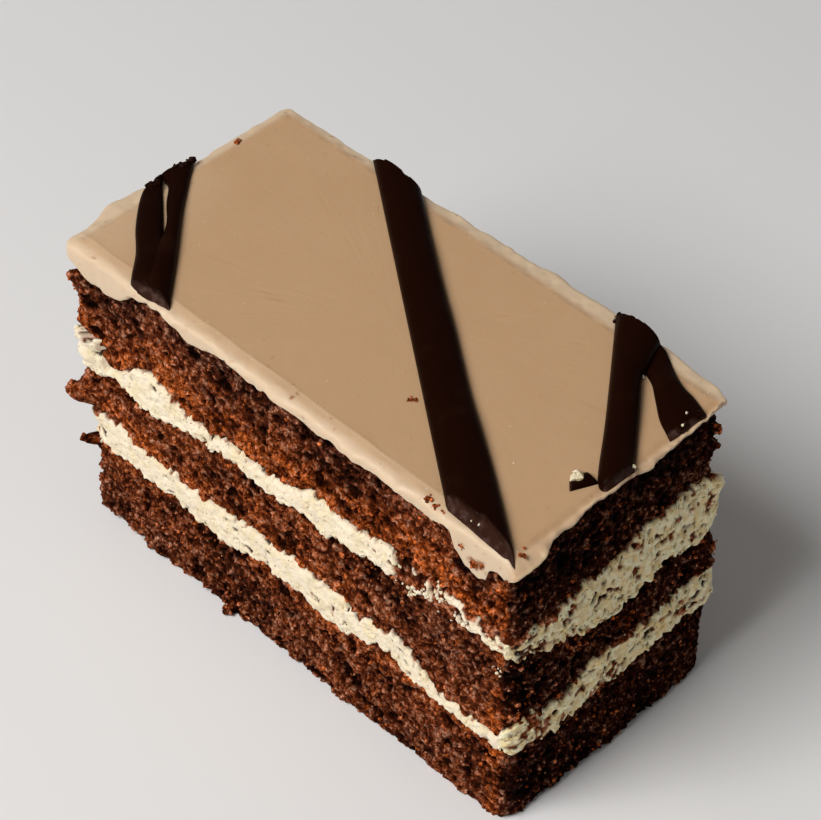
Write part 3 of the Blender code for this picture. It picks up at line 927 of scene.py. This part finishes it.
# White specks and a pale flake on the chocolate, in the same form: painted highlights where the
# chocolate catches the light
WHITE_GLINTS = (
    (43.2, -4.9, 61.0, 0.45, 7, 0.95),
    (38.9, -22.7, 60.9, 0.05, 2, 0.3),
    (40.1, -22.6, 60.9, 0.05, 2, 0.32),
    (48.0, 2.3, 60.6, 0.15, 5, 0.3),
    (47.6, 13.6, 60.9, 0.1, 2, 0.25),
    (46.2, 15.6, 61.2, 0.1, 2, 0.25),
    (36.3, 17.6, 60.3, 0.1, 2, 0.25),
)
# How many grains of sugar lie on the icing, white points that stand in for painted glints
SUGAR_GLINTS = 320


def crumb_shape():
    """Corners and faces of a ball with twenty faces."""
    ball = bmesh.new()
    bmesh.ops.create_icosphere(ball, subdivisions=1, radius=1.0)
    corners = np.array([corner.co for corner in ball.verts])
    faces = np.array([[corner.index for corner in face.verts] for face in ball.faces])
    ball.free()
    return corners, faces


def crumb_mesh(name, centres, radii, seed, attributes):
    """Rough crumbs: each is a ball of twenty faces, stretched and with its corners pushed about."""
    rng = np.random.default_rng(seed)
    corners, faces = crumb_shape()
    count, around = len(centres), len(corners)
    dents = rng.uniform(0.6, 1.3, (count, around, 1))
    shapes = corners * dents * rng.uniform(0.7, 1.3, (count, 1, 3))
    points = centres[:, None] + shapes * radii[:, None, None]
    faces = faces + around * np.arange(count)[:, None, None]
    spread = {key: np.repeat(values, around) for key, values in attributes.items()}
    mesh = fill_mesh(name, points.reshape(-1, 3), [faces.reshape(-1, 3)], spread)
    mesh.shade_flat()
    return mesh


def clumped(clumps, seed):
    """Centres and radii of crumbs in clumps, scattered round each clump's centre."""
    rng = np.random.default_rng(seed)
    centres, radii = [], []
    for *centre, spread, count, radius in clumps:
        centres.append(np.array(centre) + rng.normal(0, spread, (count, len(centre))))
        radii.append(radius * rng.uniform(0.3, 1, count))
    return np.concatenate(centres), np.concatenate(radii)


def surface_points(names):
    """The points of finished pieces that lie on the slice's walls or on top of it."""
    points = []
    for name in names:
        mesh = bpy.data.objects[name].data
        corners = np.empty(len(mesh.vertices) * 3)
        mesh.vertices.foreach_get("co", corners)
        corners = corners.reshape(-1, 3) / MM
        gap = (CAKE_SIZE / 2 - np.abs(corners[:, :2])).min(axis=1)
        points.append(corners[(gap < 0.3) | (corners[:, 2] > ICING_TOP)])
    return np.concatenate(points)


def clinging(points, clumps, seed):
    """Crumbs in clumps that touch a surface: each sits on a surface point, most on the nearest to
    the clump's centre by a bell curve of the distance."""
    rng = np.random.default_rng(seed)
    centres, radii = [], []
    for *centre, spread, count, radius in clumps:
        away = ((points - centre) ** 2).sum(axis=1)
        weight = np.exp((away.min() - away) / spread**2)
        picked = rng.choice(len(points), count, p=weight / weight.sum())
        centres.append(points[picked] + rng.normal(0, 0.35 * radius, (count, 3)))
        radii.append(radius * rng.uniform(0.3, 1, count))
    return np.concatenate(centres), np.concatenate(radii)


def roll_surface(edges, crowns, far_slope, near_slope, seed):
    """A half-round roll between two edges, as a grid of rings from its far end to its near end.

    Across each ring a point follows half a cosine from edge to edge and half a sine up to the
    crown, then goes straight back along the icing. Both ends slope off like a cut, and the far
    one is chipped.
    """
    rows, arc, flat = 170, 72, 16
    share = np.linspace(0, 1, rows)
    angle = np.linspace(0, math.pi, arc)
    across = np.concatenate([(1 - np.cos(angle)) / 2, np.linspace(1, 0, flat + 2)[1:-1]])
    arch = np.concatenate([np.sin(angle) ** 0.75, np.zeros(flat)])
    left, right = along_edge(edges["left"], share), along_edge(edges["right"], share)
    ring = left[:, None] + (right - left)[:, None] * across[:, None]
    course = (left[-1] + right[-1]) - (left[0] + right[0])
    length = np.linalg.norm(course) / 2
    spots = np.dstack([ring * 1.6, ring[..., :1]]).reshape(-1, 3)
    chip = np.maximum(value_noise(spots, 1.9, seed + 5), 0).reshape(rows, -1) * far_slope * 1.3
    far = smooth_step(0, 1, (share * length)[:, None] / (0.4 + chip))
    dent = 1 + 0.3 * value_noise(spots, 2.5, seed + 6).reshape(rows, -1)
    near = np.clip((1 - share)[:, None] * length / (near_slope * dent), 0, 1)
    # Stiff at its far end, which sticks out over the icing's rim, and bent at the near one
    base = np.where(share[:, None] < 0.5, ICING_TOP, icing_height(ring)) - ROLL_SINK
    wave = value_noise(np.dstack([ring, base]).reshape(-1, 3), 5.0, seed).reshape(base.shape)
    height = np.interp(share, np.linspace(0, 1, len(crowns)), crowns)[:, None]
    lift = np.maximum(height * np.minimum(far, near), ROLL_EDGE) * arch * (1 + 0.07 * wave)
    return np.dstack([ring, base + lift]), {"cut": smooth_step(1.0, 0.7, near)}


def joined_meshes(name, parts):
    """One mesh from several grids of points, each closed in itself."""
    meshes = [closed_surface(name, *part) for part in parts]
    if len(meshes) == 1:
        return meshes[0]
    points, triangles, marks = [], [], []
    offset = 0
    for mesh in meshes:
        count = len(mesh.vertices)
        co = np.empty(count * 3)
        mesh.vertices.foreach_get("co", co)
        mark = np.empty(count)
        mesh.attributes["cut"].data.foreach_get("value", mark)
        mesh.calc_loop_triangles()
        corner = np.empty(len(mesh.loop_triangles) * 3, np.int32)
        mesh.loop_triangles.foreach_get("vertices", corner)
        points.append(co.reshape(-1, 3) / MM)
        triangles.append(corner.reshape(-1, 3) + offset)
        marks.append(mark)
        offset += count
        bpy.data.meshes.remove(mesh)
    faces = [np.concatenate(triangles)]
    return fill_mesh(name, np.concatenate(points), faces, {"cut": np.concatenate(marks)})


# Materials

SMOOTH = {"interpolation_type": "SMOOTHSTEP"}
BLEND = {"data_type": "RGBA", "clamp_factor": True}
TIMES = {"operation": "MULTIPLY"}


def plug(tree, made, inputs):
    """Sets a node's inputs by name or number, or links them where the value is a socket."""
    for key, value in inputs.items():
        if isinstance(value, bpy.types.NodeSocket):
            tree.links.new(value, made.inputs[key])
        else:
            made.inputs[key].default_value = value


def node(tree, kind, settings=None, inputs=None, output=0):
    """Adds a node with its settings and links, and gives one of its outputs."""
    made = tree.nodes.new(kind)
    for key, value in (settings or {}).items():
        setattr(made, key, value)
    plug(tree, made, inputs or {})
    return made.outputs[output]


def new_material(name):
    """A material with its node tree and its shader."""
    material = bpy.data.materials.new(name)
    material.use_nodes = True
    tree = material.node_tree
    return material, tree, tree.nodes["Principled BSDF"]


def place_and_marks(tree, *marks):
    """The place on the object, and each of the named point attributes."""
    place = node(tree, "ShaderNodeTexCoord", output="Object")
    settings = [{"attribute_name": mark} for mark in marks]
    values = [node(tree, "ShaderNodeAttribute", given, output="Fac") for given in settings]
    return place, *values


def pattern(tree, place, size, detail, low, high, least=0.0, most=1.0):
    """Noise with blobs of a size in millimetres: its values from low to high run smoothly from
    the least to the most."""
    inputs = {"Vector": place, "Scale": 1 / (size * MM), "Detail": detail}
    blobs = node(tree, "ShaderNodeTexNoise", None, inputs)
    return node(tree, "ShaderNodeMapRange", SMOOTH, {0: blobs, 1: low, 2: high, 3: least, 4: most})


def bumps(tree, place, size, detail, strength, depth):
    """A normal bent by fine noise, with blobs of a size and a depth in millimetres."""
    inputs = {"Vector": place, "Scale": 1 / (size * MM), "Detail": detail}
    height = node(tree, "ShaderNodeTexNoise", None, inputs)
    inputs = {"Strength": strength, "Distance": depth * MM, "Height": height}
    return node(tree, "ShaderNodeBump", None, inputs)


def layered(tree, body, *coats):
    """Colours laid over a first one in turn: each covers what lies below it by its share."""
    for share, colour in coats:
        body = node(tree, "ShaderNodeMix", BLEND, {0: share, 6: body, 7: colour}, 2)
    return body


def sponge_colour(tree, colours, place, relief, tone):
    """Crumb by crumb colour: painted warm light where thin, dark under the icing, painted shade in
    the pores and on the right end.
    """
    # Warm patches of 2.5 mm, painted light where it comes through, and painted shade of dark crumb
    # at the right end
    patch = pattern(tree, place, 2.5, 2.0, 0.35, 0.65, 0.35)
    thin = node(tree, "ShaderNodeMapRange", SMOOTH, {0: tone, 1: 0.0, 2: -1.0})
    end_shade = node(tree, "ShaderNodeMapRange", SMOOTH, {0: tone, 1: 1.0, 2: 2.0})
    # Each crumb of 1 mm is lighter or darker than the next, with grains of 0.4 mm in it
    body = layered(
        tree,
        colours.crumb,
        (node(tree, "ShaderNodeMapRange", SMOOTH, {0: tone}), colours.crumb_dark),
        (node(tree, "ShaderNodeMath", TIMES, {0: thin, 1: patch}), colours.crumb_warm),
        (end_shade, linear_colour("4A1C0A")),
        # Painted highlights: pale grains where crumb tips catch the light
        (pattern(tree, place, 1.0, 3.0, 0.52, 0.7, 0.0, 0.7), linear_colour("A67B64")),
    )
    # Painted shade: dark where the relief dips into pores, lighter on the lumps
    inputs = {0: relief, 1: -0.75, 2: 0.2, 3: 0.05, 4: 1.15}
    depth = node(tree, "ShaderNodeMapRange", SMOOTH, inputs)
    # Painted shade: darker still on the right end
    darker = node(tree, "ShaderNodeMapRange", SMOOTH, {0: tone, 1: 1.0, 2: 2.2, 3: 1.0, 4: 0.4})
    shade = pattern(tree, place, 1.0, 3.0, 0.36, 0.6, 0.3, 1.45)
    shade = node(tree, "ShaderNodeMath", TIMES, {0: shade, 1: depth})
    shade = node(tree, "ShaderNodeMath", TIMES, {0: shade, 1: darker})
    # Painted shade: deep crumb is reddened, as light bounced between crumbs would redden it
    deep = node(tree, "ShaderNodeMapRange", SMOOTH, {0: shade, 1: 0.9, 2: 0.25})
    inputs = {0: 1.0, 6: body, 7: linear_colour("FAE0D6")}
    red = node(tree, "ShaderNodeMix", {**BLEND, "blend_type": "MULTIPLY"}, inputs, 2)
    body = layered(tree, body, (deep, red))
    grain = pattern(tree, place, 0.4, 2.0, 0.33, 0.67, 0.5, 1.55)
    shade = node(tree, "ShaderNodeMath", TIMES, {0: shade, 1: grain})
    return node(tree, "ShaderNodeVectorMath", {"operation": "SCALE"}, {0: body, "Scale": shade})


def sponge_material(colours):
    """Chocolate sponge, torn by the knife: dry matt crumb, with painted shade in its pores and
    painted warm light where it is thin.
    """
    material, tree, shader = new_material("chocolate_sponge_torn")
    place, relief, tone = place_and_marks(tree, "relief", "paint")
    inputs = {
        "Base Color": sponge_colour(tree, colours, place, relief, tone),
        "Normal": bumps(tree, place, 0.6, 3.0, 1.0, 1.0),
        "Roughness": 0.5,
        "Specular IOR Level": 0.01,
    }
    plug(tree, shader, inputs)
    return material


def cream_material(colours):
    """Whipped cream, smeared by the knife: ivory, soft, slightly see-through, with crumbs in it."""
    material, tree, shader = new_material("whipped_cream_smeared")
    place, relief, cover = place_and_marks(tree, "relief", "paint")
    # Painted light: the cream of the right end lies in shade, and is made brighter and yellower in
    # patches of 1.4 mm, as warm light bounced from the sponge would make it
    along = node(tree, "ShaderNodeSeparateXYZ", None, {0: place})
    inputs = {0: along, 1: RIGHT_END_BAND[0] * MM, 2: RIGHT_END_BAND[1] * MM}
    right_end = node(tree, "ShaderNodeMapRange", SMOOTH, inputs)
    most = node(tree, "ShaderNodeMath", TIMES, {0: right_end, 1: 0.9})
    patch = pattern(tree, place, 1.4, 3.0, 0.38, 0.62)
    lit_end_cream = layered(tree, linear_colour("F4DA9C"), (patch, linear_colour("FFF6CE")))
    # Painted shade: darker where the relief dips into hollows
    hollow = node(tree, "ShaderNodeMapRange", SMOOTH, {0: relief, 1: -0.15, 2: -0.6})
    # Painted shade: small air holes of 0.55 mm, drawn as dark specks, in the cream of the right end
    hole = pattern(tree, place, 0.55, 1.0, 0.7, 0.74)
    hole = node(tree, "ShaderNodeMath", TIMES, {0: hole, 1: right_end})
    # Painted shade: the large holes are deep enough to let no light back out, so they are coloured
    # near black
    deep = node(tree, "ShaderNodeMapRange", SMOOTH, {0: relief, 1: -0.75, 2: -1.15})
    # Smears of 3 mm first, and specks of 0.5 mm where the knife dragged crumbs over it
    body = layered(
        tree,
        colours.cream,
        (pattern(tree, place, 3.0, 3.0, 0.4, 0.7, 0.0, 0.5), linear_colour("E2CF9C")),
        (most, lit_end_cream),
        (hollow, linear_colour("331C0E")),
        (pattern(tree, place, 0.5, 1.0, 0.7, 0.76), linear_colour("6B4A2E")),
        (hole, linear_colour("120A05")),
        (deep, linear_colour("0A0402")),
        (cover, sponge_colour(tree, colours, place, relief, SMEARED_TONE)),
    )
    # Only bare cream that is no deep hole lets light through
    bare = node(tree, "ShaderNodeMapRange", SMOOTH, {0: cover, 3: 0.25, 4: 0.0})
    solid = node(tree, "ShaderNodeMapRange", SMOOTH, {0: deep, 1: 1.0, 2: 0.0})
    inputs = {
        "Base Color": body,
        "Normal": bumps(tree, place, 0.4, 2.0, 0.5, 0.3),
        "Roughness": 0.55,
        "Specular IOR Level": node(tree, "ShaderNodeMapRange", SMOOTH, {0: cover, 3: 0.3, 4: 0.01}),
        "Subsurface Weight": node(tree, "ShaderNodeMath", TIMES, {0: bare, 1: solid}),
        "Subsurface Radius": (1.0, 0.75, 0.45),
        "Subsurface Scale": 1.0 * MM,
    }
    plug(tree, shader, inputs)
    return material


def icing_material(colours):
    """Coffee fondant icing, poured and set: smooth, satin, slightly see-through, paler if thin."""
    material, tree, shader = new_material("coffee_icing_set")
    place, thin, stain = place_and_marks(tree, "thin", "stain")
    # Clouds of 12 mm and a sugar grain of 0.5 mm
    inputs = {"Vector": place, "Scale": 1 / (12 * MM), "Detail": 2.0}
    cloud = node(tree, "ShaderNodeTexNoise", None, inputs)
    tint = node(tree, "ShaderNodeMapRange", None, {0: cloud, 1: 0.3, 2: 0.7, 3: 0.0, 4: 0.35})
    body = layered(
        tree,
        colours.icing,
        (tint, linear_colour("BC9670")),
        (thin, colours.icing_thin),
        (stain, linear_colour("8E5A30")),
    )
    inputs = {
        "Base Color": body,
        "Normal": bumps(tree, place, 0.5, 2.0, 0.12, 0.2),
        "Roughness": 0.42,
        "Specular IOR Level": 0.4,
        "Subsurface Weight": 0.3,
        "Subsurface Radius": (1.0, 0.6, 0.35),
        "Subsurface Scale": 2.0 * MM,
    }
    plug(tree, shader, inputs)
    return material


def chocolate_material(colours):
    """Dark chocolate, tempered and rolled thin: near black with a satin gloss, greyer at a cut,
    with painted highlights in streaks there.
    """
    material, tree, shader = new_material("dark_chocolate_tempered")
    place, cut = place_and_marks(tree, "cut")
    # Faint bloom in patches of 6 mm, and painted highlights in pale streaks of 1.5 mm on the cut
    haze = pattern(tree, place, 6.0, 4.0, 0.55, 0.8, 0.0, 0.25)
    cut_highlight = pattern(tree, place, 1.5, 3.0, 0.45, 0.8, 0.0, 0.5)
    sliced = layered(tree, colours.chocolate_cut, (cut_highlight, linear_colour("66504A")))
    body = layered(tree, colours.chocolate, (haze, colours.chocolate_cut), (cut, sliced))
    inputs = {
        "Base Color": body,
        "Normal": bumps(tree, place, 2.0, 2.0, 0.3, 0.2),
        "Roughness": 0.34,
        "Specular IOR Level": 0.025,
    }
    plug(tree, shader, inputs)
    return material


def sugar_glint_material():
    """White sugar, dry crystals on the icing: bright points, painted glints."""
    material, tree, shader = new_material("sugar_glints")
    plug(tree, shader, {"Base Color": linear_colour("E8D8C0"), "Roughness": 0.3})
    return material


def table_material(colour):
    """Matt laminate table, pale and even."""
    material, tree, shader = new_material("pale_table_laminate")
    inputs = {"Base Color": colour, "Roughness": 0.6, "Specular IOR Level": 0.25}
    plug(tree, shader, inputs)
    return material


# Operators


class MOCHA_OT_sponge(bpy.types.Operator):
    """Builds the three layers of torn chocolate sponge"""

    bl_idname = "mocha.sponge"
    bl_label = "Sponge"

    def execute(self, context):
        scene = context.scene
        material = sponge_material(scene.mocha_colours)
        for name, rows in SPONGES.items():
            surface = layer_surface(name, rows, sponge_relief, scene.mocha_sizes)
            mesh = closed_surface(f"{name}_crumb", *surface)
            add_piece(mesh, material, [name])
        return {"FINISHED"}


class MOCHA_OT_cream(bpy.types.Operator):
    """Builds the two layers of smeared cream"""

    bl_idname = "mocha.cream"
    bl_label = "Cream"

    def execute(self, context):
        scene = context.scene
        material = cream_material(scene.mocha_colours)
        for name, rows in CREAMS.items():
            surface = layer_surface(name, rows, cream_relief, scene.mocha_sizes)
            mesh = closed_surface(f"{name}_smear", *surface)
            add_piece(mesh, material, [name])
        return {"FINISHED"}


class MOCHA_OT_icing(bpy.types.Operator):
    """Builds the coffee icing with its hanging rim"""

    bl_idname = "mocha.icing"
    bl_label = "Icing"

    def execute(self, context):
        scene = context.scene
        mesh = closed_surface("icing_poured", *icing_surface(scene.mocha_sizes))
        add_piece(mesh, icing_material(scene.mocha_colours), ["icing_top"])
        return {"FINISHED"}


class MOCHA_OT_rolls(bpy.types.Operator):
    """Builds the chocolate rolls that lie on the icing"""

    bl_idname = "mocha.rolls"
    bl_label = "Chocolate rolls"

    def execute(self, context):
        material = chocolate_material(context.scene.mocha_colours)
        for name, parts in ROLLS.items():
            mesh = joined_meshes(f"{name}_roll", [roll_surface(*part) for part in parts])
            mesh.set_sharp_from_angle(angle=math.radians(ROLL_CREASE))
            add_piece(mesh, material, [name])
        return {"FINISHED"}


class MOCHA_OT_crumbs(bpy.types.Operator):
    """Builds the crumbs, flecks of cream and sugar grains that cling to the slice, and the white
    points that are painted glints on the chocolate and the icing
    """

    bl_idname = "mocha.crumbs"
    bl_label = "Crumbs"

    def execute(self, context):
        rng = np.random.default_rng(7)
        names = [f"{name}_crumb" for name in SPONGES]
        sponge = bpy.data.objects[names[0]].data.materials[0]
        cream = bpy.data.objects["cream_upper_smear"].data.materials[0]
        chocolate = bpy.data.objects["chocolate_band_left_roll"].data.materials[0]
        creams = [f"{name}_smear" for name in CREAMS]
        walls, smears = surface_points(names), surface_points(creams)
        torn = walls[rng.integers(0, len(walls), TORN_CRUMBS)]
        torn_radii = 0.12 + 0.34 * rng.random(TORN_CRUMBS) ** 2
        clumps, clump_radii = clinging(walls, CRUMB_CLUMPS, 62)
        flap, flap_radii = clinging(surface_points(["icing_poured"]), FLAP_CRUMBS, 63)
        flat, flat_radii = clumped(ICING_CRUMBS, 64)
        icing = np.column_stack([flat, icing_height(flat) + 0.1])
        centres = np.concatenate([torn, clumps, flap, icing])
        radii = np.concatenate([torn_radii, clump_radii, flap_radii, flat_radii])
        centres[:, 2] = np.maximum(centres[:, 2], 1.7 * radii)
        paint = {"relief": np.full(len(centres), 0.1), "paint": rng.uniform(-1, 0.6, len(centres))}
        mesh = crumb_mesh("crumbs_of_sponge", centres, radii, 65, paint)
        add_piece(mesh, sponge, [])
        curds = smears[rng.integers(0, len(smears), CREAM_CURDS)]
        flecks, fleck_radii = clinging(np.concatenate([walls, smears]), CREAM_FLECKS, 67)
        rolls = surface_points([f"{name}_roll" for name in ROLLS])
        # Painted highlights: white specks and a pale flake where the chocolate catches the light
        white, white_radii = clinging(rolls, WHITE_GLINTS, 68)
        centres = np.concatenate([curds, flecks, white])
        radii = np.concatenate([rng.uniform(0.12, 0.4, CREAM_CURDS), fleck_radii, white_radii])
        paint = {"relief": np.full(len(centres), 0.1), "paint": np.zeros(len(centres))}
        mesh = crumb_mesh("flecks_of_cream_and_glints", centres, radii, 69, paint)
        add_piece(mesh, cream, [])
        centres, radii = clinging(rolls, CHOCOLATE_BITS, 70)
        cut = {"cut": rng.uniform(0, 0.5, len(centres))}
        mesh = crumb_mesh("bits_of_chocolate", centres, radii, 71, cut)
        add_piece(mesh, chocolate, [])
        # Half of the sugar, white grains that are painted glints, lies along the front crease, a
        # quarter along the back, the rest anywhere
        flat = rng.uniform(-1, 1, (SUGAR_GLINTS, 2)) * (SLICE_SIZE / 2 - 1)
        flat[::2, 1] = rng.normal(2.2 - SLICE_SIZE[1] / 2, 0.35, len(flat[::2]))
        flat[1::4, 1] = rng.normal(SLICE_SIZE[1] / 2 - 1.6, 0.4, len(flat[1::4]))
        centres = np.column_stack([flat, icing_height(flat)])
        radii = 0.03 + 0.08 * rng.random(SUGAR_GLINTS) ** 2
        mesh = crumb_mesh("glints_of_sugar", centres, radii, 72, {})
        add_piece(mesh, sugar_glint_material(), [])
        return {"FINISHED"}


class MOCHA_OT_stage(bpy.types.Operator):
    """Sets out the table, the light and the camera"""

    bl_idname = "mocha.stage"
    bl_label = "Stage"

    def execute(self, context):
        stage = context.scene.mocha_stage
        add_table(stage)
        add_lights(stage)
        add_camera()
        context.scene.view_settings.view_transform = "Standard"
        return {"FINISHED"}


def add_table(stage):
    """A square table top, 6 m wide, with the slice at its middle."""
    side = 3.0
    mesh = bpy.data.meshes.new("table")
    corners = [(-side, -side, 0), (side, -side, 0), (side, side, 0), (-side, side, 0)]
    mesh.from_pydata(corners, [], [(0, 1, 2, 3)])
    mesh.materials.append(table_material(stage.table))
    table = bpy.data.objects.new("table", mesh)
    bpy.context.scene.collection.objects.link(table)


# Where the window light stands from the slice, how far away and how wide, in metres
KEY_DIRECTION = (-0.14, -0.62, 0.77)
KEY_DISTANCE = 1.1
KEY_SIZE = 0.6


def add_lights(stage):
    """A large soft window light at the front left, and an even light from all sides."""
    light = bpy.data.lights.new("window", "AREA")
    light.energy = stage.key_power
    light.shape = "SQUARE"
    light.size = KEY_SIZE
    light.color = (1.0, 0.98, 0.955)
    window = bpy.data.objects.new("window", light)
    direction = Vector(KEY_DIRECTION).normalized()
    window.location = direction * KEY_DISTANCE
    window.rotation_euler = (-direction).to_track_quat("-Z", "Y").to_euler()
    bpy.context.scene.collection.objects.link(window)
    world = bpy.data.worlds.new("room")
    world.use_nodes = True
    sky = world.node_tree.nodes["Background"]
    sky.inputs["Color"].default_value = (1.0, 0.97, 0.93, 1)
    sky.inputs["Strength"].default_value = stage.fill
    bpy.context.scene.world = world


# The camera's place in millimetres, its turn round the slice and above it, its roll and its lens
CAMERA_PLACE = (237.5, -235.0, 376.3)
CAMERA_AZIMUTH = 44.78
CAMERA_ELEVATION = 45.21
CAMERA_ROLL = -0.49
CAMERA_LENS = 131.55


def add_camera():
    """A long lens that looks down on the near right corner, turned by its azimuth, its elevation
    and a slight roll."""
    azimuth, elevation, roll = map(math.radians, (CAMERA_AZIMUTH, CAMERA_ELEVATION, CAMERA_ROLL))
    back = Vector(
        (
            math.sin(azimuth) * math.cos(elevation),
            -math.cos(azimuth) * math.cos(elevation),
            math.sin(elevation),
        )
    )
    right = Vector((0, 0, 1)).cross(back).normalized()
    turn = Matrix((right, back.cross(right), back)).transposed() @ Matrix.Rotation(-roll, 3, "Z")
    camera = bpy.data.cameras.new("camera")
    camera.lens = CAMERA_LENS
    camera.sensor_width = 36.0
    camera.clip_start = 0.02
    holder = bpy.data.objects.new("camera", camera)
    holder.matrix_world = Matrix.Translation(Vector(CAMERA_PLACE) * MM) @ turn.to_4x4()
    bpy.context.scene.collection.objects.link(holder)
    bpy.context.scene.camera = holder


class MOCHA_PT_panel(bpy.types.Panel):
    """Lists the settings and the steps of the slice"""

    bl_idname = "MOCHA_PT_panel"
    bl_label = "Mocha Slice"
    bl_space_type = "VIEW_3D"
    bl_region_type = "UI"
    bl_category = "Mocha Slice"

    def draw(self, context):
        for name in GROUPS:
            group = getattr(context.scene, name)
            box = self.layout.box()
            for setting in group.__annotations__:
                box.prop(group, setting)
        for step in STEPS:
            self.layout.operator(step.bl_idname)


GROUPS = {"mocha_sizes": MochaSizes, "mocha_colours": MochaColours, "mocha_stage": MochaStage}
STEPS = (
    MOCHA_OT_sponge,
    MOCHA_OT_cream,
    MOCHA_OT_icing,
    MOCHA_OT_rolls,
    MOCHA_OT_crumbs,
    MOCHA_OT_stage,
)


def register():
    """Registers the classes, and gives each scene its groups of settings."""
    for kind in (*GROUPS.values(), *STEPS, MOCHA_PT_panel):
        bpy.utils.register_class(kind)
    for name, group in GROUPS.items():
        setattr(bpy.types.Scene, name, bpy.props.PointerProperty(type=group))


def unregister():
    """Takes the settings and the classes away again."""
    for name in GROUPS:
        delattr(bpy.types.Scene, name)
    for kind in (MOCHA_PT_panel, *reversed(STEPS), *GROUPS.values()):
        bpy.utils.unregister_class(kind)


def main():
    """Builds the slice and its stage."""
    register()
    bpy.ops.mocha.sponge()
    bpy.ops.mocha.cream()
    bpy.ops.mocha.icing()
    bpy.ops.mocha.rolls()
    bpy.ops.mocha.crumbs()
    bpy.ops.mocha.stage()


if __name__ == "__main__":
    main()
